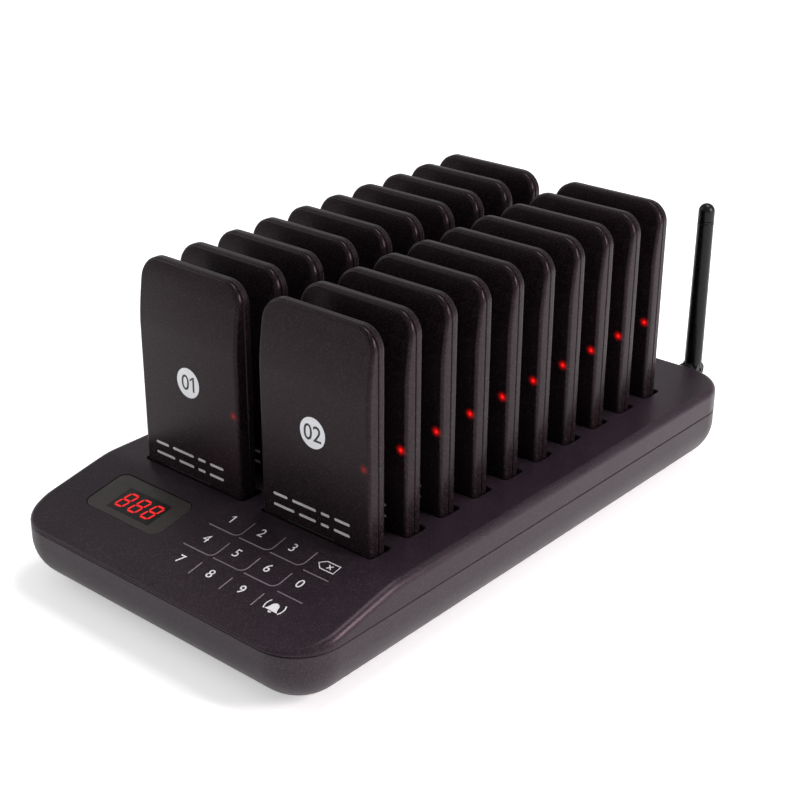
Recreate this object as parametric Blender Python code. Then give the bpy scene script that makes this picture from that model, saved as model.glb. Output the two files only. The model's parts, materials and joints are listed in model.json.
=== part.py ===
"""A guest paging set: a charging base with a control panel, twenty coaster pagers and a hinged antenna.

Frame: metres, +Z up, +Y to the rear, +X to the right. The origin is under the middle of the whole set,
on the surface that it stands on.
"""

import math

import bmesh
import bpy
from mathutils import Matrix

MM = 0.001
GAP = 0.3 * MM

# Pager
PAGER_WIDTH = 56.0 * MM
PAGER_HEIGHT = 102.0 * MM
PAGER_THICK = 9.4 * MM
PAGER_TOP_RADIUS = 9.0 * MM
PAGER_FOOT_RADIUS = 2.5 * MM
PAGER_EDGE = 1.6 * MM
PAGER_WALL = 1.4 * MM
SEAM_SHARE = 0.57
SLOPE_START = 74.0 * MM
TOP_FACE_DEPTH = 1.4 * MM
OPEN_PAGER = 2

# Rows and slots
ROWS = 10
ROW_PITCH = 20.8 * MM
COLUMN_OFFSET = 34.0 * MM
SLOT_DEPTH = 12.0 * MM
SLOT_SIDE_CLEARANCE = 1.2 * MM
SLOT_FRONT_CLEARANCE = 0.4 * MM
SLOT_REAR_CLEARANCE = 2.0 * MM
SLOT_RADIUS = 1.6 * MM

# Base
BASE_WIDTH = 163.0 * MM
BASE_FRONT = 62.5 * MM
BASE_REAR = 228.0 * MM
BASE_RADIUS = 20.5 * MM
DECK_HEIGHT = 37.5 * MM
SEAM_DROP = 11.6 * MM
DECK_EDGE = 3.4 * MM
FRONT_LIP = 1.4 * MM
PANEL_TOP = 12.0 * MM
UNDERSIDE_RADIUS = 18.0 * MM
BASE_WALL = 2.4 * MM
CAVITY_FRONT = 12.0 * MM
FOOT_HEIGHT = 1.5 * MM
FOOT_RADIUS = 7.0 * MM

# Control panel, in its own plane: x across, s up the slope from the front edge
WINDOW_CENTRE = (-40.0 * MM, 34.0 * MM)
WINDOW_SIZE = (43.0 * MM, 22.8 * MM)
WINDOW_RADIUS = 4.0 * MM
WINDOW_THICK = 0.8 * MM
DISPLAY_SIZE = (25.0 * MM, 13.8 * MM)
DISPLAY_DEEP = 6.5 * MM
KEY_CENTRE = (25.5 * MM, 33.2 * MM)
BOARD_THICK = 1.6 * MM

# Antenna
ANTENNA_X = 53.0 * MM
ANTENNA_DROP = 7.4 * MM
HINGE_BEHIND = 13.0 * MM
WHIP_RADIUS = (4.1 * MM, 3.75 * MM)
WHIP_TOP = 75.7 * MM
TIP_LENGTH = 9.3 * MM
TONGUE_HALF = 1.5 * MM
COUPLING_RADIUS = 4.7 * MM
KNUCKLE_HALF = 4.0 * MM
KNUCKLE_RADIUS = 4.2 * MM
PIN_RADIUS = 0.9 * MM

# The antenna stands behind the rear wall, so the base sits forward of the middle of the whole set.
SET_REAR = BASE_REAR + HINGE_BEHIND + KNUCKLE_RADIUS
ROW_ONE_Y = (BASE_FRONT - SET_REAR) / 2
DECK = Matrix.Translation((0, ROW_ONE_Y, DECK_HEIGHT))


def clear_scene():
    for obj in list(bpy.data.objects):
        bpy.data.objects.remove(obj, do_unlink=True)


def material(name, colour, roughness, metallic=0.0):
    mat = bpy.data.materials.new(name)
    mat.use_nodes = True
    shader = mat.node_tree.nodes["Principled BSDF"]
    shader.inputs["Base Color"].default_value = (*colour, 1.0)
    shader.inputs["Roughness"].default_value = roughness
    shader.inputs["Metallic"].default_value = metallic
    return mat


def add_object(name, bm, mat, place, smooth_angle=35):
    """A finished mesh as one named object, whose origin is that of its place matrix."""
    bmesh.ops.recalc_face_normals(bm, faces=bm.faces)
    mesh = bpy.data.meshes.new(name)
    bm.to_mesh(mesh)
    bm.free()
    mesh.shade_smooth()
    mesh.set_sharp_from_angle(angle=math.radians(smooth_angle))
    obj = bpy.data.objects.new(name, mesh)
    obj.matrix_world = place
    if mat:
        obj.data.materials.append(mat)
    bpy.context.scene.collection.objects.link(obj)
    return obj


def as_cutter(target, cutter, operation="DIFFERENCE"):
    cutter.hide_render = True
    cutter.display_type = "WIRE"
    cut = target.modifiers.new(cutter.name, "BOOLEAN")
    cut.operation = operation
    cut.object = cutter
    return cutter


def empty(name, place):
    frame = bpy.data.objects.new(name, None)
    frame.matrix_world = place
    bpy.context.scene.collection.objects.link(frame)
    return frame


def child_of(parent, *children):
    bpy.context.view_layer.update()
    for obj in children:
        obj.parent = parent
        obj.matrix_parent_inverse = parent.matrix_world.inverted()


# ---- outlines and shells ----


def outline(half, low, high, low_radius, high_radius, breaks=(), steps=6):
    """A rounded rectangle, anticlockwise from its lower right side, as (u, v, normal u, normal v).

    Its straight sides carry a point at each of the breaks, so that a profile can bend there.
    """
    points = []

    def arc(centre_u, centre_v, radius, start):
        for k in range(steps + 1):
            angle = math.radians(start + 90 * k / steps)
            nu, nv = math.cos(angle), math.sin(angle)
            points.append((centre_u + radius * nu, centre_v + radius * nv, nu, nv))

    inner = [v for v in sorted(breaks) if low + low_radius < v < high - high_radius]
    points += [(half, v, 1.0, 0.0) for v in inner]
    arc(half - high_radius, high - high_radius, high_radius, 0)
    arc(high_radius - half, high - high_radius, high_radius, 90)
    points += [(-half, v, -1.0, 0.0) for v in reversed(inner)]
    arc(low_radius - half, low + low_radius, low_radius, 180)
    arc(half - low_radius, low + low_radius, low_radius, 270)
    return points


def ramp(stations):
    """A height that runs straight between (v, height) stations and stays level beyond them."""

    def height(v):
        if v <= stations[0][0]:
            return stations[0][1]
        for (v0, h0), (v1, h1) in zip(stations, stations[1:]):
            if v <= v1:
                return h0 + (h1 - h0) * (v - v0) / (v1 - v0)
        return stations[-1][1]

    return height


def level(value):
    return lambda v: value


def dome_rings(bm, line, base, top, edge, steps):
    """Rings of vertices up a wall from base and over a rounded edge to the top surface."""
    rings = [[bm.verts.new((u, v, base)) for u, v, _, _ in line]]
    for k in range(steps + 1):
        angle = math.pi / 2 * k / steps
        ring = []
        for u, v, nu, nv in line:
            radius = min(edge, 0.85 * (top(v) - base))
            inset = radius * (1 - math.cos(angle))
            u_in, v_in = u - nu * inset, v - nv * inset
            ring.append(bm.verts.new((u_in, v_in, top(v_in) - radius * (1 - math.sin(angle)))))
        rings.append(ring)
    return rings


def join_rings(bm, lower, upper):
    count = len(lower)
    for i in range(count):
        j = (i + 1) % count
        bm.faces.new((lower[i], lower[j], upper[j], upper[i]))


def cap(bm, ring, line):
    """Closes a ring with one flat face between each two points that face each other on its straight sides."""
    right = sorted((v, i) for i, (u, v, nu, nv) in enumerate(line) if nu == 1.0)
    left = sorted((v, i) for i, (u, v, nu, nv) in enumerate(line) if nu == -1.0)
    pairs = [(i, j) for (_, i), (_, j) in zip(right, left)]
    first_right, first_left = pairs[0]
    last_right, last_left = pairs[-1]
    bm.faces.new(ring[first_left : first_right + 1])
    for (r0, l0), (r1, l1) in zip(pairs, pairs[1:]):
        bm.faces.new((ring[r0], ring[r1], ring[l1], ring[l0]))
    bm.faces.new(ring[last_right : last_left + 1])


def shell_mesh(outer, base, top, edge, cavity=None, steps=4):
    """A domed body on the plane w = base. A cavity, (line, top, edge), makes it hollow and open at its base.

    Both lines have the same number of points, so that the rim joins them one to one.
    """
    bm = bmesh.new()
    rings = dome_rings(bm, outer, base, top, edge, steps)
    for lower, upper in zip(rings, rings[1:]):
        join_rings(bm, lower, upper)
    cap(bm, rings[-1], outer)
    if cavity is None:
        cap(bm, rings[0], outer)
        return bm
    line, roof, inner_edge = cavity
    hollow = dome_rings(bm, line, base, roof, inner_edge, steps)
    for lower, upper in zip(hollow, hollow[1:]):
        join_rings(bm, lower, upper)
    cap(bm, hollow[-1], line)
    join_rings(bm, rings[0], hollow[0])
    return bm


def rounded_block(bm, centre, size, radius, steps=3):
    """A block with rounded vertical corners, added to bm."""
    half_u, half_v, half_w = (s / 2 for s in size)
    line = outline(half_u, -half_v, half_v, radius, radius, steps=steps)
    rings = []
    for w in (-half_w, half_w):
        rings.append([bm.verts.new((centre[0] + u, centre[1] + v, centre[2] + w)) for u, v, _, _ in line])
    join_rings(bm, *rings)
    bm.faces.new(rings[1])
    bm.faces.new(rings[0][::-1])


def block(bm, low, high):
    """A plain block between two corners, added to bm."""
    size = [b - a for a, b in zip(low, high)]
    middle = [(a + b) / 2 for a, b in zip(low, high)]
    bmesh.ops.create_cube(bm, size=1.0, matrix=Matrix.Translation(middle) @ Matrix.Diagonal((*size, 1.0)))


def block_mesh(low, high):
    bm = bmesh.new()
    block(bm, low, high)
    return bm


def rounded_mesh(size, radius, steps=3):
    bm = bmesh.new()
    rounded_block(bm, (0, 0, 0), size, radius, steps)
    return bm


def turned(profile, sides):
    """A solid of revolution about Z from (radius, z) points in rising z. A zero radius makes a tip."""
    bm = bmesh.new()
    rings = []
    for radius, z in profile:
        if radius == 0:
            rings.append([bm.verts.new((0, 0, z))])
            continue
        angles = [2 * math.pi * k / sides for k in range(sides)]
        rings.append([bm.verts.new((radius * math.cos(a), radius * math.sin(a), z)) for a in angles])
    for lower, upper in zip(rings, rings[1:]):
        for i in range(sides):
            j = (i + 1) % sides
            corners = {lower[i % len(lower)]: 0, lower[j % len(lower)]: 0}
            corners.update({upper[j % len(upper)]: 0, upper[i % len(upper)]: 0})
            bm.faces.new(list(corners))
    for ring in (rings[0], rings[-1]):
        if len(ring) > 1:
            bm.faces.new(ring)
    return bm


def cylinder(bm, radius, low, high, place=None, sides=12):
    """A cylinder about Z from low to high, set down at place, added to bm."""
    bmesh.ops.create_cone(
        bm,
        cap_ends=True,
        segments=sides,
        radius1=radius,
        radius2=radius,
        depth=high - low,
        matrix=(place or Matrix()) @ Matrix.Translation((0, 0, (low + high) / 2)),
    )


def cylinder_mesh(radius, low, high, sides=12):
    bm = bmesh.new()
    cylinder(bm, radius, low, high, sides=sides)
    return bm


# Turn +Z to +X or to +Y.
ALONG_X = Matrix.Rotation(math.radians(90), 4, "Y")
ALONG_Y = Matrix.Rotation(math.radians(-90), 4, "X")


# ---- base ----

PANEL_STATIONS = [
    (-BASE_FRONT, FRONT_LIP - SEAM_DROP),
    (-PANEL_TOP - 6 * MM, -1.3 * MM),
    (-PANEL_TOP, -0.35 * MM),
    (-PANEL_TOP + 5 * MM, 0.0),
]
PANEL_RISE = PANEL_STATIONS[1][1] - PANEL_STATIONS[0][1]
PANEL_ANGLE = math.atan2(PANEL_RISE, PANEL_STATIONS[1][0] - PANEL_STATIONS[0][0])
PANEL = (
    DECK
    @ Matrix.Translation((0, *PANEL_STATIONS[0]))
    @ Matrix.Rotation(PANEL_ANGLE, 4, "X")
)
TRAY_BOTTOM = DECK_HEIGHT - FOOT_HEIGHT
TRAY_FLOOR = BASE_WALL - TRAY_BOTTOM

BOSS_RADIUS = 3.2 * MM
BOSS_X = BASE_WIDTH / 2 - 21.5 * MM
BOSSES = [(x, y) for y in (24 * MM - BASE_FRONT, BASE_REAR - 22 * MM) for x in (-BOSS_X, BOSS_X)]
SCREW_SHANK = 1.3 * MM
SCREW_HEAD = (2.7 * MM, 1.1 * MM)
SCREW_LENGTH = 10.0 * MM

SOCKET_RADIUS = 3.0 * MM
INLET_PLACE = (-50.0 * MM, -17.0 * MM)
INLET_HALF = 4.0 * MM
INLET_LENGTH = 12.0 * MM
INLET_MOUTH = 3.3 * MM

WELL_WALL = 1.2 * MM
WELL_FLOOR = -SLOT_DEPTH - GAP
CONTACT_OFFSETS = (-9.0 * MM, 9.0 * MM)
CONTACT_Y = -1.8 * MM
CONTACT_HALF = 1.2 * MM
STRIP_THICK = 0.6 * MM
STRIP_HALF = 2.5 * MM
STRIP_TOP = WELL_FLOOR - WELL_WALL - GAP
ROWS_LENGTH = (ROWS - 1) * ROW_PITCH

KEY_SHEET = (60.0 * MM, 40.0 * MM)
BOARD_SIZE = (106.0 * MM, 36.0 * MM)
BOARD_CENTRE_S = 33.0 * MM
BEEPER_SIZE = (6.0 * MM, 4.5 * MM)
FOOT_INSET = 9.0 * MM


def base_line(inset=0.0, front_inset=None, breaks=()):
    front = inset if front_inset is None else front_inset
    radius = BASE_RADIUS - inset
    low, high = front - BASE_FRONT, BASE_REAR - inset
    return outline(BASE_WIDTH / 2 - inset, low, high, radius, radius, breaks)


def row_slots(column, margin, low, high, radius):
    """One block for each slot of a column, grown by margin."""
    bm = bmesh.new()
    front = -PAGER_THICK / 2 - SLOT_FRONT_CLEARANCE - margin
    rear = PAGER_THICK / 2 + SLOT_REAR_CLEARANCE + margin
    size = (PAGER_WIDTH + 2 * (SLOT_SIDE_CLEARANCE + margin), rear - front, high - low)
    for row in range(ROWS):
        centre = (column * COLUMN_OFFSET, row * ROW_PITCH + (front + rear) / 2, (low + high) / 2)
        rounded_block(bm, centre, size, radius, steps=2)
    return bm


def make_upper_cover(plastic):
    breaks = [v for v, _ in PANEL_STATIONS[1:]]
    skin = [(v, h - BASE_WALL) for v, h in PANEL_STATIONS]
    bm = shell_mesh(
        base_line(breaks=breaks),
        GAP / 2 - SEAM_DROP,
        ramp(PANEL_STATIONS),
        DECK_EDGE,
        (base_line(BASE_WALL, CAVITY_FRONT, breaks), ramp(skin), DECK_EDGE - BASE_WALL),
    )
    cover = add_object("upper_cover", bm, plastic, DECK)

    posts = bmesh.new()
    for x, y in BOSSES:
        place = Matrix.Translation((x, y, 0))
        roof = ramp(PANEL_STATIONS)(y) - 0.75 * BASE_WALL
        cylinder(posts, BOSS_RADIUS, TRAY_FLOOR + GAP, roof, place)
    as_cutter(cover, add_object("cover_bosses", posts, None, DECK), "UNION")

    for name, column in (("left_slots", -1), ("right_slots", 1)):
        slots = row_slots(column, 0.0, -2 * BASE_WALL, BASE_WALL, SLOT_RADIUS)
        as_cutter(cover, add_object(name, slots, None, DECK))

    bores = bmesh.new()
    for x, y in BOSSES:
        pilot = SCREW_LENGTH + 2 * GAP
        cylinder(bores, SCREW_SHANK + GAP, -pilot, pilot, Matrix.Translation((x, y, TRAY_FLOOR)), 10)
    socket = Matrix.Translation((ANTENNA_X, BASE_REAR, -ANTENNA_DROP)) @ ALONG_Y
    cylinder(bores, SOCKET_RADIUS + GAP, -2 * BASE_WALL, BASE_WALL, socket, 16)
    as_cutter(cover, add_object("cover_bores", bores, None, DECK))

    recess = bmesh.new()
    recess_size = [side + 2 * GAP for side in WINDOW_SIZE]
    deep = WINDOW_THICK + 2 * GAP
    rounded_block(recess, (*WINDOW_CENTRE, 0), (*recess_size, 2 * deep), WINDOW_RADIUS + GAP)
    as_cutter(cover, add_object("window_recess", recess, None, PANEL))

    opening = bmesh.new()
    opening_size = [side + 2 * GAP for side in DISPLAY_SIZE]
    rounded_block(opening, (*WINDOW_CENTRE, 0), (*opening_size, 4 * BASE_WALL), GAP)
    as_cutter(cover, add_object("display_opening", opening, None, PANEL))
    return cover


def make_lower_tray(plastic):
    upside_down = Matrix.Diagonal((1, 1, -1, 1))
    bm = shell_mesh(
        base_line(),
        SEAM_DROP + GAP / 2,
        level(TRAY_BOTTOM),
        UNDERSIDE_RADIUS,
        (base_line(BASE_WALL), level(-TRAY_FLOOR), UNDERSIDE_RADIUS - BASE_WALL),
        steps=5,
    )
    bmesh.ops.transform(bm, matrix=upside_down, verts=bm.verts)
    tray = add_object("lower_tray", bm, plastic, DECK)

    holes = bmesh.new()
    counterbores = bmesh.new()
    for x, y in BOSSES:
        place = Matrix.Translation((x, y, -TRAY_BOTTOM))
        cylinder(holes, SCREW_SHANK + GAP, -BASE_WALL, 2 * BASE_WALL, place, 10)
        cylinder(counterbores, SCREW_HEAD[0] + GAP, -BASE_WALL, SCREW_HEAD[1] + GAP, place)
    as_cutter(tray, add_object("tray_screw_holes", holes, None, DECK))
    as_cutter(tray, add_object("tray_counterbores", counterbores, None, DECK))

    inlet = bmesh.new()
    x, z = INLET_PLACE
    half = INLET_HALF + GAP
    low = (x - half, BASE_REAR - 3 * BASE_WALL, z - half)
    block(inlet, low, (x + half, BASE_REAR + BASE_WALL, z + half))
    as_cutter(tray, add_object("tray_inlet_hole", inlet, None, DECK))
    return tray


def make_slot_rack(side, column, plastic):
    """Ten wells hanging from one flange, with an opening in each floor for the two contact tips."""
    flange_top = -BASE_WALL - GAP
    flange_low = flange_top - 1.5 * MM
    half = PAGER_WIDTH / 2 + SLOT_SIDE_CLEARANCE + WELL_WALL
    reach = PAGER_THICK / 2 + SLOT_REAR_CLEARANCE + WELL_WALL
    x = column * COLUMN_OFFSET
    bm = block_mesh((x - half, -reach, flange_low), (x + half, ROWS_LENGTH + reach, flange_top))
    rack = add_object(f"slot_rack_{side}", bm, plastic, DECK)

    bottom = WELL_FLOOR - WELL_WALL
    walls = row_slots(column, 0.8 * WELL_WALL, bottom, flange_low + GAP, SLOT_RADIUS)
    as_cutter(rack, add_object(f"{side}_well_walls", walls, None, DECK), "UNION")
    wells = row_slots(column, 0.0, WELL_FLOOR, BASE_WALL, SLOT_RADIUS)
    as_cutter(rack, add_object(f"{side}_wells", wells, None, DECK))

    windows = bmesh.new()
    reach = CONTACT_HALF + GAP
    for row in range(ROWS):
        for offset in CONTACT_OFFSETS:
            y = row * ROW_PITCH + CONTACT_Y
            low = (x + offset - reach, y - reach, bottom - WELL_WALL)
            block(windows, low, (x + offset + reach, y + reach, WELL_FLOOR + WELL_WALL))
    as_cutter(rack, add_object(f"{side}_contact_windows", windows, None, DECK))
    return rack


def make_contact_strip(name, x, metal):
    """One flat strip under the wells, with a tip bent up through the floor of each."""
    margin = 6 * MM
    low = (x - STRIP_HALF, -margin, STRIP_TOP - STRIP_THICK)
    strip = add_object(
        name, block_mesh(low, (x + STRIP_HALF, ROWS_LENGTH + margin, STRIP_TOP)), metal, DECK
    )
    tips = bmesh.new()
    for row in range(ROWS):
        y = row * ROW_PITCH + CONTACT_Y
        low = (x - CONTACT_HALF, y - CONTACT_HALF, STRIP_TOP - STRIP_THICK / 2)
        block(tips, low, (x + CONTACT_HALF, y + CONTACT_HALF, -SLOT_DEPTH - GAP))
    as_cutter(strip, add_object(f"{name}_tips", tips, None, DECK), "UNION")
    return strip


def make_charging_parts(plastic, board_mat, metal):
    board_top = STRIP_TOP - STRIP_THICK - GAP
    half = 20 * MM
    margin = 8 * MM
    for side, column in (("left", -1), ("right", 1)):
        make_slot_rack(side, column, plastic)
        x = column * COLUMN_OFFSET
        low = (x - half, -margin, board_top - BOARD_THICK)
        board = block_mesh(low, (x + half, ROWS_LENGTH + margin, board_top))
        add_object(f"charge_board_{side}", board, board_mat, DECK)
        for letter, offset in zip("ab", CONTACT_OFFSETS):
            make_contact_strip(f"contact_strip_{side}_{letter}", x + offset, metal)


def make_panel_parts(film, display_mat, board_mat, black):
    """The window, display, key electrodes, main board and beeper, all parallel to the panel."""
    window = rounded_mesh((*WINDOW_SIZE, WINDOW_THICK), WINDOW_RADIUS)
    x, s = WINDOW_CENTRE
    seat = Matrix.Translation((x, s, -WINDOW_THICK / 2 - GAP))
    add_object("display_window", window, film, PANEL @ seat)

    display_top = -WINDOW_THICK - 2 * GAP
    place = PANEL @ Matrix.Translation((x, s, display_top - DISPLAY_DEEP / 2))
    add_object("display_module", rounded_mesh((*DISPLAY_SIZE, DISPLAY_DEEP), 0.5 * MM), display_mat, place)

    sheet_thick = 0.5 * MM
    place = PANEL @ Matrix.Translation((*KEY_CENTRE, -BASE_WALL - 2 * GAP - sheet_thick / 2))
    add_object("keypad_sheet", rounded_mesh((*KEY_SHEET, sheet_thick), 2 * MM), board_mat, place)

    board_top = display_top - DISPLAY_DEEP - GAP
    place = PANEL @ Matrix.Translation((0, BOARD_CENTRE_S, board_top - BOARD_THICK / 2))
    add_object("main_board", rounded_mesh((*BOARD_SIZE, BOARD_THICK), 2 * MM), board_mat, place)

    beeper_low = board_top - BOARD_THICK - GAP - BEEPER_SIZE[1]
    place = PANEL @ Matrix.Translation((*KEY_CENTRE, beeper_low))
    add_object("key_beeper", cylinder_mesh(BEEPER_SIZE[0], 0, BEEPER_SIZE[1], 20), black, place)


def make_rear_parts(black, board_mat):
    x, z = INLET_PLACE
    low = (x - INLET_HALF, BASE_REAR - INLET_LENGTH, z - INLET_HALF)
    inlet = add_object(
        "power_inlet", block_mesh(low, (x + INLET_HALF, BASE_REAR - GAP, z + INLET_HALF)), black, DECK
    )
    mouth = bmesh.new()
    place = Matrix.Translation((x, BASE_REAR, z)) @ ALONG_Y
    cylinder(mouth, INLET_MOUTH, 1 * MM - INLET_LENGTH, BASE_WALL, place, 16)
    as_cutter(inlet, add_object("inlet_mouth", mouth, None, DECK))

    radio = rounded_mesh((30 * MM, 18 * MM, 3 * MM), 1 * MM)
    seat = Matrix.Translation((12 * MM, BASE_REAR - 16 * MM, -20 * MM))
    add_object("radio_module", radio, board_mat, DECK @ seat)


def make_screws_and_feet(steel, rubber):
    for number, (x, y) in enumerate(BOSSES, 1):
        head_radius, head_height = SCREW_HEAD
        profile = [
            (head_radius, 0),
            (head_radius, head_height),
            (SCREW_SHANK, head_height),
            (SCREW_SHANK, SCREW_LENGTH),
        ]
        place = DECK @ Matrix.Translation((x, y, -TRAY_BOTTOM))
        add_object(f"case_screw_{number}", turned(profile, 12), steel, place)
        inward = -math.copysign(FOOT_INSET, x)
        along = math.copysign(FOOT_INSET, -y)
        place = Matrix.Translation((x + inward, ROW_ONE_Y + y + along, 0))
        foot = turned(
            [(FOOT_RADIUS - 0.4 * MM, 0), (FOOT_RADIUS, 0.4 * MM), (FOOT_RADIUS, FOOT_HEIGHT - GAP)], 20
        )
        add_object(f"foot_{number}", foot, rubber, place)


# ---- antenna ----


def make_antenna(rubber, brass):
    """A socket in the rear wall, a swivel that turns about Y, and a whip that tilts about X on its pin."""
    wall = Matrix.Translation((ANTENNA_X, BASE_REAR, -ANTENNA_DROP))
    flange_radius, nut_radius = SOCKET_RADIUS + 0.5 * MM, SOCKET_RADIUS + 1.2 * MM
    inside, nut = -BASE_WALL - GAP, 2.0 * MM
    socket = turned(
        [
            (SOCKET_RADIUS, inside - 6 * MM),
            (SOCKET_RADIUS, inside - nut),
            (flange_radius, inside - nut),
            (flange_radius, inside),
            (SOCKET_RADIUS, inside),
            (SOCKET_RADIUS, GAP),
            (nut_radius, GAP),
            (nut_radius, GAP + nut),
        ],
        18,
    )
    add_object("antenna_connector", socket, brass, DECK @ wall @ ALONG_Y)

    swivel_axis = empty("antenna_swivel_axis", DECK @ wall @ ALONG_Y)
    start = nut + 2 * GAP
    collar = start + 5.5 * MM
    neck = 3.2 * MM
    profile = [
        (COUPLING_RADIUS - 0.5 * MM, start),
        (COUPLING_RADIUS, start + 0.5 * MM),
        (COUPLING_RADIUS, collar - 0.6 * MM),
        (COUPLING_RADIUS - 0.6 * MM, collar),
        (TONGUE_HALF, collar + 0.6 * MM),
    ]
    swivel = add_object("antenna_swivel", turned(profile, 20), rubber, DECK @ wall @ ALONG_Y)
    hinge = DECK @ Matrix.Translation((ANTENNA_X, BASE_REAR + HINGE_BEHIND, -ANTENNA_DROP))
    tongue = bmesh.new()
    block(tongue, (-TONGUE_HALF, collar - HINGE_BEHIND - 1 * MM, -neck), (TONGUE_HALF, 0, neck))
    plate = add_object("swivel_tongue", tongue, None, hinge)
    as_cutter(swivel, plate, "UNION")
    eye = bmesh.new()
    cylinder(eye, neck, -TONGUE_HALF, TONGUE_HALF, ALONG_X, 20)
    as_cutter(swivel, add_object("swivel_eye", eye, None, hinge), "UNION")
    bore = bmesh.new()
    cylinder(bore, PIN_RADIUS + GAP, -2 * TONGUE_HALF, 2 * TONGUE_HALF, ALONG_X, 12)
    as_cutter(swivel, add_object("swivel_pin_bore", bore, None, hinge))

    tilt_axis = empty("antenna_tilt_axis", hinge)
    low_radius, high_radius = WHIP_RADIUS
    tip_start = WHIP_TOP + ANTENNA_DROP - TIP_LENGTH
    shaft = turned([(low_radius, 0), (low_radius, 10 * MM), (high_radius, tip_start)], 20)
    whip = add_object("antenna_whip", shaft, rubber, hinge)
    knuckle = bmesh.new()
    cylinder(knuckle, KNUCKLE_RADIUS, -KNUCKLE_HALF, KNUCKLE_HALF, ALONG_X, 24)
    as_cutter(whip, add_object("whip_knuckle", knuckle, None, hinge), "UNION")
    fork = bmesh.new()
    slot_half = TONGUE_HALF + GAP
    reach = 2 * KNUCKLE_RADIUS
    block(fork, (-slot_half, -reach, -reach), (slot_half, reach, KNUCKLE_RADIUS + 0.3 * MM))
    as_cutter(whip, add_object("whip_fork_slot", fork, None, hinge))
    bore = bmesh.new()
    cylinder(bore, PIN_RADIUS + GAP, -reach, reach, ALONG_X, 12)
    as_cutter(whip, add_object("whip_pin_bore", bore, None, hinge))

    pin_half = KNUCKLE_HALF - 0.3 * MM
    pin = cylinder_mesh(PIN_RADIUS, -pin_half, pin_half)
    pin_object = add_object("antenna_hinge_pin", pin, brass, hinge @ ALONG_X)

    dome = []
    for angle in (math.radians(a) for a in (0, 30, 60)):
        dome.append((high_radius * math.cos(angle), TIP_LENGTH - high_radius * (1 - math.sin(angle))))
    tip = turned([(high_radius, GAP), *dome, (0, TIP_LENGTH)], 20)
    tip_object = add_object("antenna_tip", tip, rubber, hinge @ Matrix.Translation((0, 0, tip_start)))
    child_of(tilt_axis, whip, tip_object)
    child_of(swivel_axis, swivel, pin_object, tilt_axis)


# ---- pagers ----

# Pager frame: x across, +y to the rear, z up from the foot. Shells are drawn lying down, as (x, z, depth).
TO_FRONT = Matrix.Rotation(math.radians(90), 4, "X")
TO_REAR = Matrix.Rotation(math.radians(180), 4, "Z") @ TO_FRONT
SEAM_Y = (SEAM_SHARE - 0.5) * PAGER_THICK
FRONT_DEPTH = SEAM_SHARE * PAGER_THICK
REAR_DEPTH = (1 - SEAM_SHARE) * PAGER_THICK
FACE_STATIONS = [
    (SLOPE_START, FRONT_DEPTH),
    (SLOPE_START + 6 * MM, FRONT_DEPTH - 0.4 * MM),
    (SLOPE_START + 13 * MM, FRONT_DEPTH - 1.2 * MM),
    (PAGER_HEIGHT, TOP_FACE_DEPTH),
]
FACE_BREAKS = [v for v, _ in FACE_STATIONS[:-1]]
FRONT_CAVITY_TOP = 92.0 * MM
DISC_HEIGHT = 54.9 * MM
DISC_RADIUS = 6.4 * MM
DISC_THICK = 0.2 * MM
LIGHT_PLACE = (24.6 * MM, 48.1 * MM)
LIGHT_RADIUS = 1.2 * MM
CONTACT_PAD = (4.0 * MM, 2.4 * MM, 2.4 * MM)
MOTOR_PLACE = (-17.0 * MM, 0.0, 16.0 * MM)
MOTOR_RADIUS = 2.2 * MM
MOTOR_HALF = 5.5 * MM
SHAFT_RADIUS = 0.5 * MM
WEIGHT_RADIUS = 2.7 * MM
WEIGHT_LENGTH = 3.4 * MM
BOARD_Y = 0.8 * MM


def pager_line(steps=5):
    half, radii = PAGER_WIDTH / 2, (PAGER_FOOT_RADIUS, PAGER_TOP_RADIUS)
    return outline(half, 0.0, PAGER_HEIGHT, *radii, FACE_BREAKS, steps)


def pager_place(number):
    """Odd numbers stand in the left column and even ones in the right, from the front row to the back."""
    row, column = divmod(number - 1, 2)
    x = (2 * column - 1) * COLUMN_OFFSET
    return DECK @ Matrix.Translation((x, row * ROW_PITCH, -SLOT_DEPTH))


def pager_case_mesh():
    """The outside of a whole pager as one body: both domes on a shared ring at the seam."""
    bm = bmesh.new()
    line = pager_line(steps=3)
    for direction, depth in ((1, ramp(FACE_STATIONS)), (-1, level(REAR_DEPTH))):
        rings = dome_rings(bm, line, 0.0, depth, PAGER_EDGE, 1)
        for lower, upper in zip(rings, rings[1:]):
            join_rings(bm, lower, upper)
        cap(bm, rings[-1], line)
        verts = [v for ring in rings for v in ring]
        bmesh.ops.scale(bm, vec=(1, 1, direction), verts=verts)
    bmesh.ops.remove_doubles(bm, verts=bm.verts, dist=MM / 1000)
    bmesh.ops.transform(bm, matrix=Matrix.Translation((0, SEAM_Y, 0)) @ TO_FRONT, verts=bm.verts)
    return bm


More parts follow.
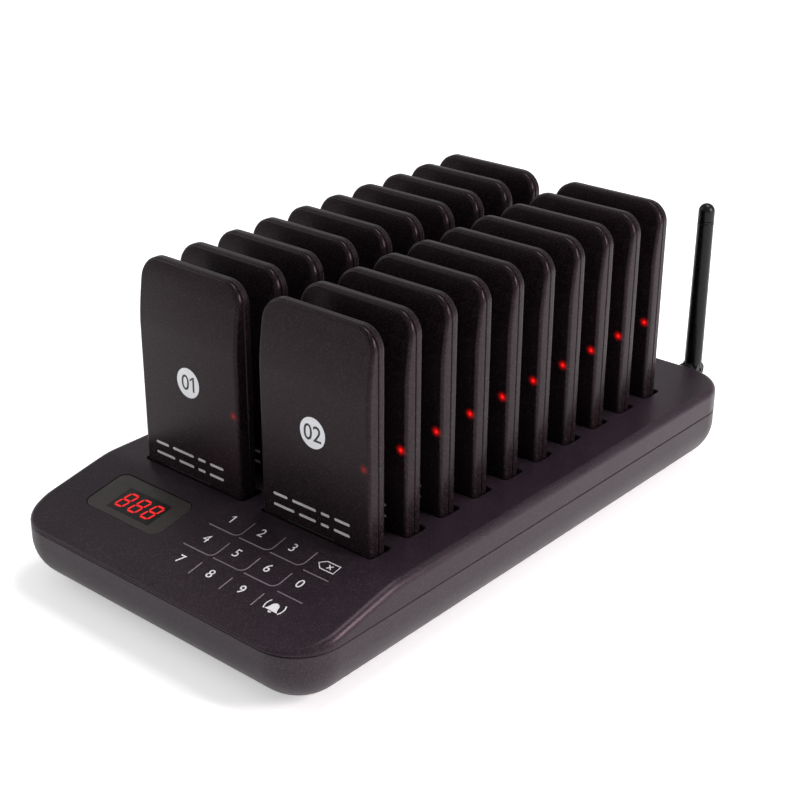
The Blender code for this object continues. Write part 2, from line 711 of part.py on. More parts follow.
def make_front_shell(name, place, plastic):
    shift = Matrix.Translation((0, SEAM_Y, 0)) @ TO_FRONT
    skin = [(v, h - PAGER_WALL) for v, h in FACE_STATIONS]
    cavity = outline(
        PAGER_WIDTH / 2 - PAGER_WALL,
        PAGER_WALL,
        FRONT_CAVITY_TOP,
        1.5 * MM,
        PAGER_TOP_RADIUS / 3,
        FACE_BREAKS,
        steps=5,
    )
    hollow = (cavity, ramp(skin), 0.6 * MM)
    bm = shell_mesh(pager_line(), GAP / 2, ramp(FACE_STATIONS), PAGER_EDGE, hollow, 3)
    bmesh.ops.transform(bm, matrix=shift, verts=bm.verts)
    shell = add_object(f"{name}_front_shell", bm, plastic, place)

    cuts = bmesh.new()
    face = Matrix.Translation((0, -PAGER_THICK / 2, DISC_HEIGHT)) @ ALONG_Y
    cylinder(cuts, DISC_RADIUS + GAP, -1 * MM, DISC_THICK + GAP, face, 40)
    light = Matrix.Translation((LIGHT_PLACE[0], -PAGER_THICK / 2, LIGHT_PLACE[1])) @ ALONG_Y
    cylinder(cuts, LIGHT_RADIUS + GAP, -1 * MM, 2 * PAGER_WALL, light, 14)
    half_x, half_y = CONTACT_PAD[0] / 2 + GAP, CONTACT_PAD[1] / 2 + GAP
    for x in CONTACT_OFFSETS:
        low = (x - half_x, CONTACT_Y - half_y, -1 * MM)
        block(cuts, low, (x + half_x, CONTACT_Y + half_y, 2 * PAGER_WALL))
    as_cutter(shell, add_object(f"{name}_front_cuts", cuts, None, place))
    return shell


def make_rear_shell(name, place, plastic):
    inset = PAGER_WALL
    half, high = PAGER_WIDTH / 2 - inset, PAGER_HEIGHT - inset
    cavity = outline(half, inset, high, 1.5 * MM, PAGER_TOP_RADIUS - inset, FACE_BREAKS, steps=5)
    hollow = (cavity, level(REAR_DEPTH - PAGER_WALL), 0.6 * MM)
    bm = shell_mesh(pager_line(), GAP / 2, level(REAR_DEPTH), PAGER_EDGE, hollow, 3)
    bmesh.ops.transform(bm, matrix=Matrix.Translation((0, SEAM_Y, 0)) @ TO_REAR, verts=bm.verts)
    return add_object(f"{name}_rear_shell", bm, plastic, place)


def make_motor(name, place, metal, brass):
    """A small motor lying across the pager, with an eccentric half disc on its shaft."""
    axis = place @ Matrix.Translation(MOTOR_PLACE) @ ALONG_X
    profile = [
        (MOTOR_RADIUS, -MOTOR_HALF),
        (MOTOR_RADIUS, MOTOR_HALF),
        (SHAFT_RADIUS, MOTOR_HALF),
        (SHAFT_RADIUS, MOTOR_HALF + GAP + WEIGHT_LENGTH),
    ]
    motor = add_object(f"{name}_motor", turned(profile, 16), metal, axis)

    start = MOTOR_HALF + GAP
    disc = cylinder_mesh(WEIGHT_RADIUS, start, start + WEIGHT_LENGTH, 20)
    weight = add_object(f"{name}_motor_weight", disc, brass, axis)
    cut = bmesh.new()
    block(cut, (SHAFT_RADIUS + GAP, -4 * MM, 0), (4 * MM, 4 * MM, 2 * start))
    as_cutter(weight, add_object(f"{name}_weight_flat", cut, None, axis))
    bore = cylinder_mesh(SHAFT_RADIUS + GAP, 0, 2 * start)
    as_cutter(weight, add_object(f"{name}_weight_bore", bore, None, axis))
    return motor, weight


def make_open_pager(name, place, mats):
    """The pager that is modelled down to its inside pieces."""
    pieces = [make_front_shell(name, place, mats["pager"]), make_rear_shell(name, place, mats["pager"])]
    pieces += make_motor(name, place, mats["steel"], mats["brass"])

    face = Matrix.Translation((0, -PAGER_THICK / 2, DISC_HEIGHT)) @ ALONG_Y
    disc = cylinder_mesh(DISC_RADIUS, 0, DISC_THICK, 40)
    pieces.append(add_object(f"{name}_number_disc", disc, mats["paper"], place @ face))
    light = Matrix.Translation((LIGHT_PLACE[0], -PAGER_THICK / 2, LIGHT_PLACE[1])) @ ALONG_Y
    guide = cylinder_mesh(LIGHT_RADIUS, 0, 3.4 * MM, 14)
    pieces.append(add_object(f"{name}_light_guide", guide, mats["light"], place @ light))

    board = block_mesh((-24 * MM, BOARD_Y, 42 * MM), (25 * MM, BOARD_Y + 1 * MM, 84 * MM))
    pieces.append(add_object(f"{name}_circuit_board", board, mats["board"], place))
    cell = block_mesh((-5 * MM, -2.2 * MM, 6 * MM), (24 * MM, 2.2 * MM, 38 * MM))
    pieces.append(add_object(f"{name}_battery", cell, mats["foil"], place))
    sounder = Matrix.Translation((-12 * MM, BOARD_Y - GAP, 64 * MM)) @ ALONG_Y
    disc = cylinder_mesh(6 * MM, -2.4 * MM, 0, 24)
    pieces.append(add_object(f"{name}_sounder", disc, mats["black"], place @ sounder))
    for letter, x in zip("ab", CONTACT_OFFSETS):
        width, depth, height = CONTACT_PAD
        low = (x - width / 2, CONTACT_Y - depth / 2, 0)
        pad = block_mesh(low, (x + width / 2, CONTACT_Y + depth / 2, height))
        pieces.append(add_object(f"{name}_contact_{letter}", pad, mats["brass"], place))
    child_of(empty(f"{name}_lift", place), *pieces)


def make_pagers(mats):
    for number in range(1, 2 * ROWS + 1):
        name = f"pager_{number:02d}"
        place = pager_place(number)
        if number == OPEN_PAGER:
            make_open_pager(name, place, mats)
            continue
        case = add_object(f"{name}_case", pager_case_mesh(), mats["pager"], place)
        child_of(empty(f"{name}_lift", place), case)


def main():
    clear_scene()
    mats = {
        "cover": material("base_plastic", (0.030, 0.022, 0.027), 0.42),
        "tray": material("tray_plastic", (0.028, 0.021, 0.025), 0.45),
        "pager": material("pager_plastic", (0.022, 0.016, 0.020), 0.4),
        "black": material("black_plastic", (0.012, 0.012, 0.012), 0.5),
        "film": material("window_film", (0.19, 0.17, 0.165), 0.35),
        "display": material("display_red", (0.35, 0.01, 0.01), 0.4),
        "board": material("circuit_board", (0.02, 0.10, 0.04), 0.5),
        "brass": material("contact_metal", (0.75, 0.58, 0.30), 0.3, 1.0),
        "steel": material("steel", (0.6, 0.6, 0.6), 0.3, 1.0),
        "foil": material("battery_foil", (0.55, 0.56, 0.58), 0.4, 0.8),
        "rubber": material("antenna_rubber", (0.012, 0.014, 0.013), 0.45),
        "foot": material("foot_rubber", (0.03, 0.03, 0.03), 0.8),
        "paper": material("number_disc", (0.85, 0.85, 0.85), 0.5),
        "light": material("light_guide", (0.6, 0.02, 0.02), 0.2),
    }
    make_upper_cover(mats["cover"])
    make_lower_tray(mats["tray"])
    make_charging_parts(mats["black"], mats["board"], mats["brass"])
    make_panel_parts(mats["film"], mats["display"], mats["board"], mats["black"])
    make_rear_parts(mats["black"], mats["board"])
    make_screws_and_feet(mats["steel"], mats["foot"])
    make_antenna(mats["rubber"], mats["brass"])
    make_pagers(mats)
    bpy.context.view_layer.update()


main()
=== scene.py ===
"""Looks of the guest paging set: base shells, control panel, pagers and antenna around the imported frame.

Metres, +Z up, +Y from the control panel to the antenna. Places come from the frame's boxes, and most of the
sizes below are written in millimetres times MM.
"""

import json
import math

import bmesh
import bpy
from mathutils import Matrix, Vector


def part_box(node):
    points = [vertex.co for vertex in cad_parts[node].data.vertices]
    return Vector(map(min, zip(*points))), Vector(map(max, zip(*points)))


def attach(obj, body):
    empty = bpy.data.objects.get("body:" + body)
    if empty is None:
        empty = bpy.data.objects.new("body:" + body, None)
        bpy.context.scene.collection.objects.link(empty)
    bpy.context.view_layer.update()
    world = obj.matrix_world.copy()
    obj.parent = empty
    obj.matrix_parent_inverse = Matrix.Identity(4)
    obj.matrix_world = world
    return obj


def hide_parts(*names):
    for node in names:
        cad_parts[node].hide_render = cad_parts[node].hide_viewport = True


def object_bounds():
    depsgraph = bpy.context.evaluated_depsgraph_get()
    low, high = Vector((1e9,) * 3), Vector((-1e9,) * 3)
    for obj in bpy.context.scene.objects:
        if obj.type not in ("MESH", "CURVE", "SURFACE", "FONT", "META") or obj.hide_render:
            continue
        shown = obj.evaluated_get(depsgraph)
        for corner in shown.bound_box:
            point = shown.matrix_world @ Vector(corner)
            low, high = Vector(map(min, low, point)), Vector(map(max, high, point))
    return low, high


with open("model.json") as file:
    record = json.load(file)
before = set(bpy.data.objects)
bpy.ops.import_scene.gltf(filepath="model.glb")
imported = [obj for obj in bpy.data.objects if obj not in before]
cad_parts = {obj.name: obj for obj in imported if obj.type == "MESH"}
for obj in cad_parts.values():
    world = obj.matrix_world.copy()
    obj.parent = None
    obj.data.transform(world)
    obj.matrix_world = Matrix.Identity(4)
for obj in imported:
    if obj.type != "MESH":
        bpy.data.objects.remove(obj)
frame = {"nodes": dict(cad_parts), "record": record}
cad_low, cad_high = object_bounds()

MM = 0.001
GAP = 0.3 * MM

# Pager
PAGER_WIDTH = 56.0 * MM
PAGER_HEIGHT = 102.0 * MM
PAGER_THICK = 9.4 * MM
PAGER_TOP_RADIUS = 9.0 * MM
PAGER_FOOT_RADIUS = 2.5 * MM
PAGER_EDGE = 1.6 * MM
PAGER_WALL = 1.4 * MM
ROOM_TOP = 92.0 * MM
ROOM_RADIUS = 1.5 * MM
ROOM_EDGE = 0.6 * MM
SEAM_Y = 0.66 * MM
FRONT_DEPTH = PAGER_THICK / 2 + SEAM_Y
REAR_DEPTH = PAGER_THICK / 2 - SEAM_Y
SLOPE_START = 74.0 * MM
SLOPE_DROP = 3.96 * MM
SLOPE_POWER = 1.5
SLOPE_STEP = 1.5 * MM
SEAM_BEVEL = 0.3 * MM
SEAM_INSET = 0.7 * MM
DISC_HEIGHT = 54.9 * MM
DISC_RADIUS = 6.4 * MM
DISC_DIGITS = 9.4 * MM
PRINT_THICK = 0.05 * MM
LED_PLACE = Vector((25.4 * MM, -PAGER_THICK / 2, 48.3 * MM))
LED_RADIUS = 0.6 * MM
LED_HALO = 3.2 * MM
FAINT_LED = 0.22
PAD_X = 9.0 * MM
PAD_SIZE = (4.0 * MM, 2.4 * MM, 0.12 * MM)
PAGERS = 20
FIRST_LIT = 3

# The dashes that stand for the printed notice: each row's height over the deck, and its word lengths
NOTICE_ROWS = ((10.3 * MM, (4.9, 8.2, 2.9, 5.1)), (5.6 * MM, (7.3, 5.9, 2.8, 5.4)))
NOTICE_LEFT = -21.5 * MM
NOTICE_LONG = 39.8 * MM
NOTICE_SPACE = 1.7
NOTICE_THICK = 1.15 * MM

# Slots
SLOT_DEPTH = 12.0 * MM
SLOT_SIDE = PAGER_WIDTH / 2 + 1.2 * MM
SLOT_FRONT = PAGER_THICK / 2 + 0.4 * MM
SLOT_REAR = PAGER_THICK / 2 + 2.0 * MM
SLOT_RADIUS = 1.6 * MM
SLOT_FLARE = 0.5 * MM

# Base
BASE_RADIUS = 20.5 * MM
SEAM_DROP = 11.6 * MM
SEAM_CHAMFER = 0.25 * MM
DECK_EDGE = 3.4 * MM
UNDERSIDE_RADIUS = 18.0 * MM
BASE_WALL = 2.4 * MM
CAVITY_FRONT = 12.0 * MM
PANEL_LIP = -10.2 * MM
PANEL_SLOPE = 0.2
PANEL_SOFTNESS = 0.35 * MM
ROLL_STEP = 1.5 * MM
PANEL_STEP = 5.0 * MM
SOCKET_BORE = 3.3 * MM
SCREW_SINK = 1.4 * MM
SCREW_BORE = 1.6 * MM
SCREW_SHANK = 1.3 * MM
SCREW_HEAD = 1.1 * MM
SCREW_CROSS = (2.6 * MM, 0.6 * MM, 1.2 * MM)
FOOT_DISH = 0.25 * MM
INLET_MOUTH = 3.2 * MM
INLET_PIN = 0.95 * MM

# Control panel, in its own plane: x across, s up the slope from the front edge
WINDOW_CENTRE = (-40.0 * MM, 34.0 * MM)
WINDOW_SIZE = (43.0 * MM, 22.8 * MM)
WINDOW_RADIUS = 4.0 * MM
WINDOW_THICK = 0.8 * MM
GLASS_CENTRE = (-38.5 * MM, 32.8 * MM)
GLASS_SIZE = (25.0 * MM, 13.6 * MM)
DIGIT_COLUMNS = (-45.9 * MM, -38.2 * MM, -30.5 * MM)
DIGIT_SIZE = (4.3 * MM, 8.4 * MM)
DIGIT_SLANT = 0.18
SEGMENT_WIDTH = 0.95 * MM
SEGMENT_GAP = 0.22
KEY_LEFT = -5.0 * MM
KEY_PITCH = 16.6 * MM
KEY_LINE = 15.8 * MM
KEY_RADIUS = 3.0 * MM
KEY_ROWS = (47.0 * MM, 33.0 * MM, 18.9 * MM)
KEY_FRONTS = (40.2 * MM, 26.1 * MM)
KEY_RISE = 9.6 * MM
KEY_LAST_ROW = (14.4 * MM, 21.8 * MM)
RIB_WIDTH = 0.55 * MM
RIB_HEIGHT = 0.14 * MM
LABEL_SIZE = 6.2 * MM
LABEL_LEFT = 0.9 * MM
LABEL_HEIGHT = 0.08 * MM
MARK_WIDTH = 0.5 * MM
ERASE_PLACE = (53.0 * MM, 45.8 * MM)
BELL_PLACE = (51.5 * MM, 17.9 * MM)

# The built-in font's 1 is a plain bar, so each 1 gets a flag. These are in font sizes.
DIGIT_PITCH = 0.5
ONE_HALF = 0.049
ONE_FLAG = ((0.0, 0.382), (-0.17, 0.243), (-0.17, 0.158), (0.0, 0.286))

# Antenna
WHIP_RADIUS = (4.1 * MM, 3.75 * MM)
KNUCKLE_RADIUS = 4.2 * MM
KNUCKLE_HALF = 4.0 * MM
TONGUE_HALF = 1.5 * MM
PIN_RADIUS = 0.9 * MM
NECK_RADIUS = 3.2 * MM
COUPLING_RADIUS = 4.7 * MM
COUPLING_START = 2.6 * MM
COUPLING_END = 8.1 * MM
COUPLING_RIBS = 24
RIB_DEPTH = 0.28 * MM
TIP_LENGTH = 9.3 * MM
SHAFT_FOOT = 10.0 * MM
GROOVE_DEPTH = 0.3 * MM
GROOVE_PITCH = 1.1 * MM
TIP_STEPS = 8

# Studio
WHITE = (1.0, 1.0, 1.0, 1.0)
FLOOR_HALF = 6.0
FLOOR_GLOW = 0.42
SURROUND_STRENGTH = 0.5
LIGHT_TARGET = Vector((0, 0, 0.06))

# Camera
LENS = 70.66
CAMERA_SHIFT = (0.05, -0.0125)
CAMERA_AZIMUTH = 41.94
CAMERA_ELEVATION = 24.74
CAMERA_ROLL = -0.34
CAMERA_TARGET = (-40.42 * MM, 104.67 * MM, 0.0)
CAMERA_DISTANCE = 719.9 * MM

cover_low, cover_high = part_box("upper_cover")
tray_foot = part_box("lower_tray")[0].z
first_low, first_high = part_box("pager_01_case")
ROW_ONE_Y = (first_low.y + first_high.y) / 2
DECK = Matrix.Translation((0, ROW_ONE_Y, cover_high.z))
BASE_HALF = cover_high.x
BASE_FRONT = ROW_ONE_Y - cover_low.y
BASE_REAR = cover_high.y - ROW_ONE_Y
PANEL = (
    DECK
    @ Matrix.Translation((0, -BASE_FRONT, PANEL_LIP))
    @ Matrix.Rotation(math.atan(PANEL_SLOPE), 4, "X")
)
ALONG_X = Matrix.Rotation(math.radians(90), 4, "Y")
ALONG_Y = Matrix.Rotation(math.radians(-90), 4, "X")


# ---- materials ----


class Shader:
    """A node material around one Principled shader, written as short calls."""

    def __init__(self, name, **values):
        self.mat = bpy.data.materials.new(name)
        self.mat.use_nodes = True
        self.nodes = self.mat.node_tree.nodes
        self.links = self.mat.node_tree.links
        self.bsdf = self.nodes["Principled BSDF"]
        for key, value in values.items():
            self.bsdf.inputs[key.replace("_", " ")].default_value = value
        self.place = self.nodes.new("ShaderNodeTexCoord").outputs["Object"]

    def node(self, kind, settings=None, **inputs):
        made = self.nodes.new(kind)
        for key, value in (settings or {}).items():
            setattr(made, key, value)
        for key, value in inputs.items():
            socket = made.inputs[int(key[1:])] if key[0] == "i" and key[1:].isdigit() else made.inputs[key]
            if isinstance(value, bpy.types.NodeSocket):
                self.links.new(value, socket)
            else:
                socket.default_value = value
        return made

    def noise(self, scale, detail=2.0, roughness=0.5, vector=None):
        made = self.node("ShaderNodeTexNoise", Vector=vector or self.place)
        made.inputs["Scale"].default_value = scale
        made.inputs["Detail"].default_value = detail
        made.inputs["Roughness"].default_value = roughness
        return made.outputs["Fac"]

    def speckle(self, scale):
        """A value from 0 to 1 that is the same over each small cell."""
        made = self.node("ShaderNodeTexVoronoi", Vector=self.place, Scale=scale)
        parts = self.node("ShaderNodeSeparateColor", Color=made.outputs["Color"])
        return parts.outputs[0]

    def ramp(self, value, low, high, from_low=0.0, from_high=1.0):
        """Value mapped from one range to another, and held inside it."""
        made = self.node("ShaderNodeMapRange", i0=value, i1=from_low, i2=from_high, i3=low, i4=high)
        return made.outputs[0]

    def math(self, operation, a, b):
        return self.node("ShaderNodeMath", {"operation": operation}, i0=a, i1=b).outputs[0]

    def blend(self, value, low, high):
        """A colour between two, by a value from 0 to 1."""
        made = self.node("ShaderNodeMix", {"data_type": "RGBA"})
        self.links.new(value, made.inputs[0])
        for index, colour in ((6, low), (7, high)):
            if isinstance(colour, bpy.types.NodeSocket):
                self.links.new(colour, made.inputs[index])
            else:
                made.inputs[index].default_value = (*colour, 1.0)
        return made.outputs[2]

    def set(self, name, value):
        self.links.new(value, self.bsdf.inputs[name])

    def bump(self, height, strength, distance):
        made = self.node("ShaderNodeBump", Height=height, Strength=strength, Distance=distance)
        self.links.new(made.outputs[0], self.bsdf.inputs["Normal"])


def satin_plastic(name, dark, light, fleck, roughness, gloss, led=0.0):
    """Moulded plastic in a fine pearl paint: grain, scattered bright flecks and a soft sheen.

    A pager's light glows through the paint round LED_PLACE, with the strength led.
    """
    s = Shader(name, Specular_IOR_Level=gloss, Specular_Tint=(1.0, 0.76, 0.84, 1.0))
    cloud = s.noise(35, 2)
    grain = s.noise(2100, 2, 0.7)
    tone = s.math("ADD", s.ramp(grain, 0.0, 0.85, 0.36, 0.64), s.ramp(cloud, 0.0, 0.15, 0.35, 0.65))
    flecks = s.ramp(s.speckle(3000), 0.0, 1.0, 0.84, 1.0)
    s.set("Base Color", s.blend(flecks, s.blend(tone, dark, light), fleck))
    s.set("Roughness", s.ramp(s.math("ADD", s.math("MULTIPLY", grain, 0.6), s.math("MULTIPLY", cloud, 0.4)),
                              roughness - 0.06, roughness + 0.08, 0.35, 0.65))
    s.bump(grain, 0.35, 0.05 * MM)
    if led:
        away = s.node("ShaderNodeVectorMath", {"operation": "DISTANCE"}, i0=s.place, i1=LED_PLACE)
        halo = s.ramp(away.outputs["Value"], 1.0, 0.0, LED_RADIUS * 0.4, LED_HALO)
        s.set("Emission Strength", s.math("MULTIPLY", s.math("POWER", halo, 3.0), led))
        s.bsdf.inputs["Emission Color"].default_value = (1.0, 0.004, 0.003, 1.0)
    return s.mat


def moulded(name, dark, light, roughness, grain_scale=1400, bump=0.25, **values):
    """A plain moulded or painted surface with fine grain and faint unevenness."""
    s = Shader(name, **values)
    grain = s.noise(grain_scale, 3, 0.6)
    s.set("Base Color", s.blend(s.ramp(s.math("ADD", grain, s.noise(60)), 0, 1, 0.7, 1.3), dark, light))
    s.set("Roughness", s.ramp(s.noise(260, 3), roughness - 0.07, roughness + 0.07, 0.3, 0.7))
    s.bump(grain, bump, 0.04 * MM)
    return s.mat


def brushed(name, dark, light, roughness, axis=(1, 1, 1)):
    """Metal with fine lines drawn out along one axis."""
    s = Shader(name, Metallic=1.0)
    drawn = s.node("ShaderNodeMapping", Vector=s.place, Scale=axis).outputs[0]
    lines = s.noise(900, 3, 0.6, drawn)
    s.set("Base Color", s.blend(lines, dark, light))
    s.set("Roughness", s.ramp(s.noise(300, 3), roughness - 0.08, roughness + 0.1, 0.3, 0.7))
    s.bump(lines, 0.2, 0.03 * MM)
    return s.mat


def glowing(name, colour, glow, strength):
    """A lit surface whose brightness wanders a little."""
    s = Shader(name, Roughness=0.35, Emission_Color=(*glow, 1.0))
    wander = s.noise(420, 2)
    s.set("Base Color", s.blend(wander, colour, [c * 0.7 for c in colour]))
    s.set("Emission Strength", s.ramp(wander, 0.8 * strength, 1.15 * strength, 0.3, 0.7))
    return s.mat


def circuit(name, dark, light):
    """Solder mask over faint copper lines."""
    s = Shader(name, Coat_Weight=0.3)
    lines = s.node("ShaderNodeTexWave", Vector=s.place, Scale=160.0, Distortion=6.0, Detail=2.0)
    trace = s.ramp(lines.outputs["Fac"], 0, 1, 0.62, 0.7)
    s.set("Base Color", s.blend(trace, dark, light))
    s.set("Roughness", s.ramp(s.noise(500, 2), 0.3, 0.45))
    s.bump(trace, 0.3, 0.03 * MM)
    return s.mat


def pager_paint(name, led):
    """The pagers' paint, with the glow round the light on the front."""
    dark, light, fleck = (0.0028, 0.0017, 0.0021), (0.0120, 0.0080, 0.0094), (0.036, 0.025, 0.029)
    return satin_plastic(name, dark, light, fleck, 0.29, 0.16, led)


MATERIALS = {
    "base_plastic": satin_plastic("base_paint", (0.0068, 0.0044, 0.0070), (0.0250, 0.0180, 0.0244),
                                  (0.046, 0.034, 0.042), 0.34, 0.23),
    "tray_plastic": satin_plastic("tray_paint", (0.0150, 0.0126, 0.0156), (0.0400, 0.0345, 0.0400),
                                  (0.056, 0.048, 0.054), 0.42, 0.20),
    "pager_plastic": pager_paint("pager_paint", 1.0),
    "black_plastic": moulded("black_plastic", (0.004, 0.004, 0.004), (0.010, 0.010, 0.010), 0.5),
    "window_film": moulded("window_film", (0.031, 0.025, 0.0245), (0.043, 0.0355, 0.0345), 0.40,
                           2200, 0.15, Specular_IOR_Level=0.3),
    "contact_metal": brushed("contact_brass", (0.60, 0.43, 0.20), (0.80, 0.63, 0.36), 0.3, (1, 6, 1)),
    "steel": brushed("plated_steel", (0.42, 0.42, 0.43), (0.62, 0.62, 0.62), 0.3, (1, 1, 5)),
    "battery_foil": brushed("battery_foil", (0.40, 0.41, 0.43), (0.60, 0.61, 0.63), 0.4, (4, 1, 1)),
    "antenna_rubber": moulded("antenna_rubber", (0.0010, 0.0016, 0.0015), (0.0026, 0.0036, 0.0034), 0.30,
                              1800, Specular_IOR_Level=0.22),
    "foot_rubber": moulded("foot_rubber", (0.008, 0.008, 0.008), (0.018, 0.018, 0.018), 0.75, 900, 0.5),
    "number_disc": moulded("number_label", (0.70, 0.71, 0.74), (0.80, 0.81, 0.84), 0.45, 1500, 0.1),
    "light_guide": glowing("red_light", (0.5, 0.01, 0.01), (1.0, 0.004, 0.003), 1.6),
    "display_red": glowing("red_segment", (0.4, 0.006, 0.006), (1.0, 0.002, 0.002), 0.75),
    "circuit_board": circuit("solder_mask", (0.006, 0.045, 0.018), (0.02, 0.10, 0.045)),
}
FAINT_PAGER = pager_paint("pager_paint_faint", FAINT_LED)
BLACKENED = brushed("blackened_steel", (0.010, 0.010, 0.010), (0.022, 0.022, 0.022), 0.4)
GLASS = moulded("display_glass", (0.0040, 0.0040, 0.0045), (0.0070, 0.0070, 0.0075), 0.45, 2400, 0.1,
                Specular_IOR_Level=0.25)
PRINT = moulded("light_print", (0.66, 0.65, 0.67), (0.80, 0.79, 0.81), 0.5, 2600, 0.1)
NOTICE_PRINT = moulded("notice_print", (0.42, 0.41, 0.42), (0.58, 0.57, 0.58), 0.5, 2600, 0.1)
DARK_PRINT = moulded("dark_print", (0.008, 0.008, 0.009), (0.020, 0.019, 0.020), 0.5, 2600, 0.1)
# Much lighter than the cover's plastic: a painted highlight on the raised hairlines round the keys.
KEY_RIB_PAINTED_HIGHLIGHT = moulded("key_rib_painted_highlight", (0.130, 0.108, 0.125), (0.200, 0.172, 0.195), 0.35, 2400, 0.2)


# ---- meshes ----


def finished(name, bm, material, angle=35):
    """A mesh with outward faces, smooth shading up to an angle, and its material."""
    bmesh.ops.recalc_face_normals(bm, faces=bm.faces)
    mesh = bpy.data.meshes.new(name)
    bm.to_mesh(mesh)
    bm.free()
    mesh.shade_smooth()
    mesh.set_sharp_from_angle(angle=math.radians(angle))
    mesh.materials.append(material)
    return mesh


def add_piece(name, shape, slot, place, body="base", material=None, replaces=(), angle=35):
    """A named piece on its body, with the finish of its slot. The shape is a new bmesh or a shared mesh."""
    mesh = shape
    if isinstance(shape, bmesh.types.BMesh):
        mesh = finished(name, shape, material or MATERIALS[slot], angle)
    obj = bpy.data.objects.new(name, mesh)
    obj.matrix_world = place
    bpy.context.scene.collection.objects.link(obj)
    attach(obj, body)
    if replaces:
        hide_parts(*replaces)
    return obj


def carve(piece, cutters, operation="DIFFERENCE", angle=30):
    """Cuts or joins each (mesh, place) with a piece and keeps only the result."""
    helpers = []
    for bm, place in cutters:
        bmesh.ops.recalc_face_normals(bm, faces=bm.faces)
        mesh = bpy.data.meshes.new("cutter")
        bm.to_mesh(mesh)
        bm.free()
        helper = bpy.data.objects.new("cutter", mesh)
        helper.matrix_world = place
        bpy.context.scene.collection.objects.link(helper)
        cut = piece.modifiers.new("cut", "BOOLEAN")
        cut.operation = operation
        cut.solver = "EXACT"
        cut.object = helper
        helpers.append(helper)
    graph = bpy.context.evaluated_depsgraph_get()
    result = bpy.data.meshes.new_from_object(piece.evaluated_get(graph))
    piece.modifiers.clear()
    result.materials.clear()
    result.materials.append(piece.data.materials[0])
    result.shade_smooth()
    result.set_sharp_from_angle(angle=math.radians(angle))
    piece.data = result
    for helper in helpers:
        bpy.data.objects.remove(helper, do_unlink=True)
    shading = piece.modifiers.new("level", "WEIGHTED_NORMAL")
    shading.keep_sharp = True
    return piece


def outline(half, low, high, low_radius, high_radius, breaks=(), steps=10):
    """A rounded rectangle, anticlockwise from its lower right side, as (u, v, normal u, normal v)."""
    points = []

    def arc(centre_u, centre_v, radius, start):
        for k in range(steps + 1):
            angle = math.radians(start + 90 * k / steps)
            nu, nv = math.cos(angle), math.sin(angle)
            points.append((centre_u + radius * nu, centre_v + radius * nv, nu, nv))

    inner = [v for v in sorted(breaks) if low + low_radius < v < high - high_radius]
    points += [(half, v, 1.0, 0.0) for v in inner]
    arc(half - high_radius, high - high_radius, high_radius, 0)
    arc(high_radius - half, high - high_radius, high_radius, 90)
    points += [(-half, v, -1.0, 0.0) for v in reversed(inner)]
    arc(low_radius - half, low + low_radius, low_radius, 180)
    arc(half - low_radius, low + low_radius, low_radius, 270)
    return points


def join_rings(bm, lower, upper):
    count = len(lower)
    for i in range(count):
        j = (i + 1) % count
        bm.faces.new((lower[i], lower[j], upper[j], upper[i]))


def cap(bm, ring, line):
    """Closes a ring with one flat face between each two points that face each other on its straight sides."""
    right = sorted((v, i) for i, (u, v, nu, nv) in enumerate(line) if nu == 1.0)
    left = sorted((v, i) for i, (u, v, nu, nv) in enumerate(line) if nu == -1.0)
    pairs = [(i, j) for (_, i), (_, j) in zip(right, left)]
    bm.faces.new(ring[pairs[0][1] : pairs[0][0] + 1])
    for (r0, l0), (r1, l1) in zip(pairs, pairs[1:]):
        bm.faces.new((ring[r0], ring[r1], ring[l1], ring[l0]))
    bm.faces.new(ring[pairs[-1][0] : pairs[-1][1] + 1])


def dome(line, base, top, edge, steps=8, chamfer=0.0):
    """A closed body on the plane w = base, with a rounded edge up to top(v) and a chamfered foot."""
    bm = bmesh.new()
    rings = []
    if chamfer:
        rings.append([bm.verts.new((u - nu * chamfer, v - nv * chamfer, base)) for u, v, nu, nv in line])
    rings.append([bm.verts.new((u, v, base + chamfer)) for u, v, _, _ in line])
    for k in range(steps + 1):
        angle = math.pi / 2 * k / steps
        ring = []
        for u, v, nu, nv in line:
            radius = min(edge, 0.85 * (top(v) - base))
            inset = radius * (1 - math.cos(angle))
            u_in, v_in = u - nu * inset, v - nv * inset
            ring.append(bm.verts.new((u_in, v_in, top(v_in) - radius * (1 - math.sin(angle)))))
        rings.append(ring)
    for lower, upper in zip(rings, rings[1:]):
        join_rings(bm, lower, upper)
    cap(bm, rings[-1], line)
    cap(bm, rings[0], line)
    return bm


def level(height):
    """A flat top for dome: the same height everywhere."""
    return lambda v: height


def rounded_block(bm, centre, size, radius, steps=5, flare=0.0, bevel=0.0):
    """A block with rounded vertical corners. A flare widens its top, and a bevel rounds its top edge."""
    half_u, half_v, half_w = (s / 2 for s in size)
    line = outline(half_u, -half_v, half_v, radius, radius, steps=steps)
    levels = [(-half_w, 0.0)]
    round_steps = 4
    if flare:
        for k in range(round_steps + 1):
            angle = math.pi / 2 * k / round_steps
            levels.append((-flare * (1 - math.sin(angle)), flare * (1 - math.cos(angle))))
    if bevel:
        for k in range(round_steps + 1):
            angle = math.pi / 2 * k / round_steps
            levels.append((half_w - bevel * (1 - math.sin(angle)), -bevel * (1 - math.cos(angle))))
    else:
        levels.append((half_w, flare))
    rings = []
    for w, grow in levels:
        ring = []
        for u, v, nu, nv in line:
            point = (centre[0] + u + nu * grow, centre[1] + v + nv * grow, centre[2] + w)
            ring.append(bm.verts.new(point))
        rings.append(ring)
    for lower, upper in zip(rings, rings[1:]):
        join_rings(bm, lower, upper)
    bm.faces.new(rings[-1])
    bm.faces.new(rings[0][::-1])


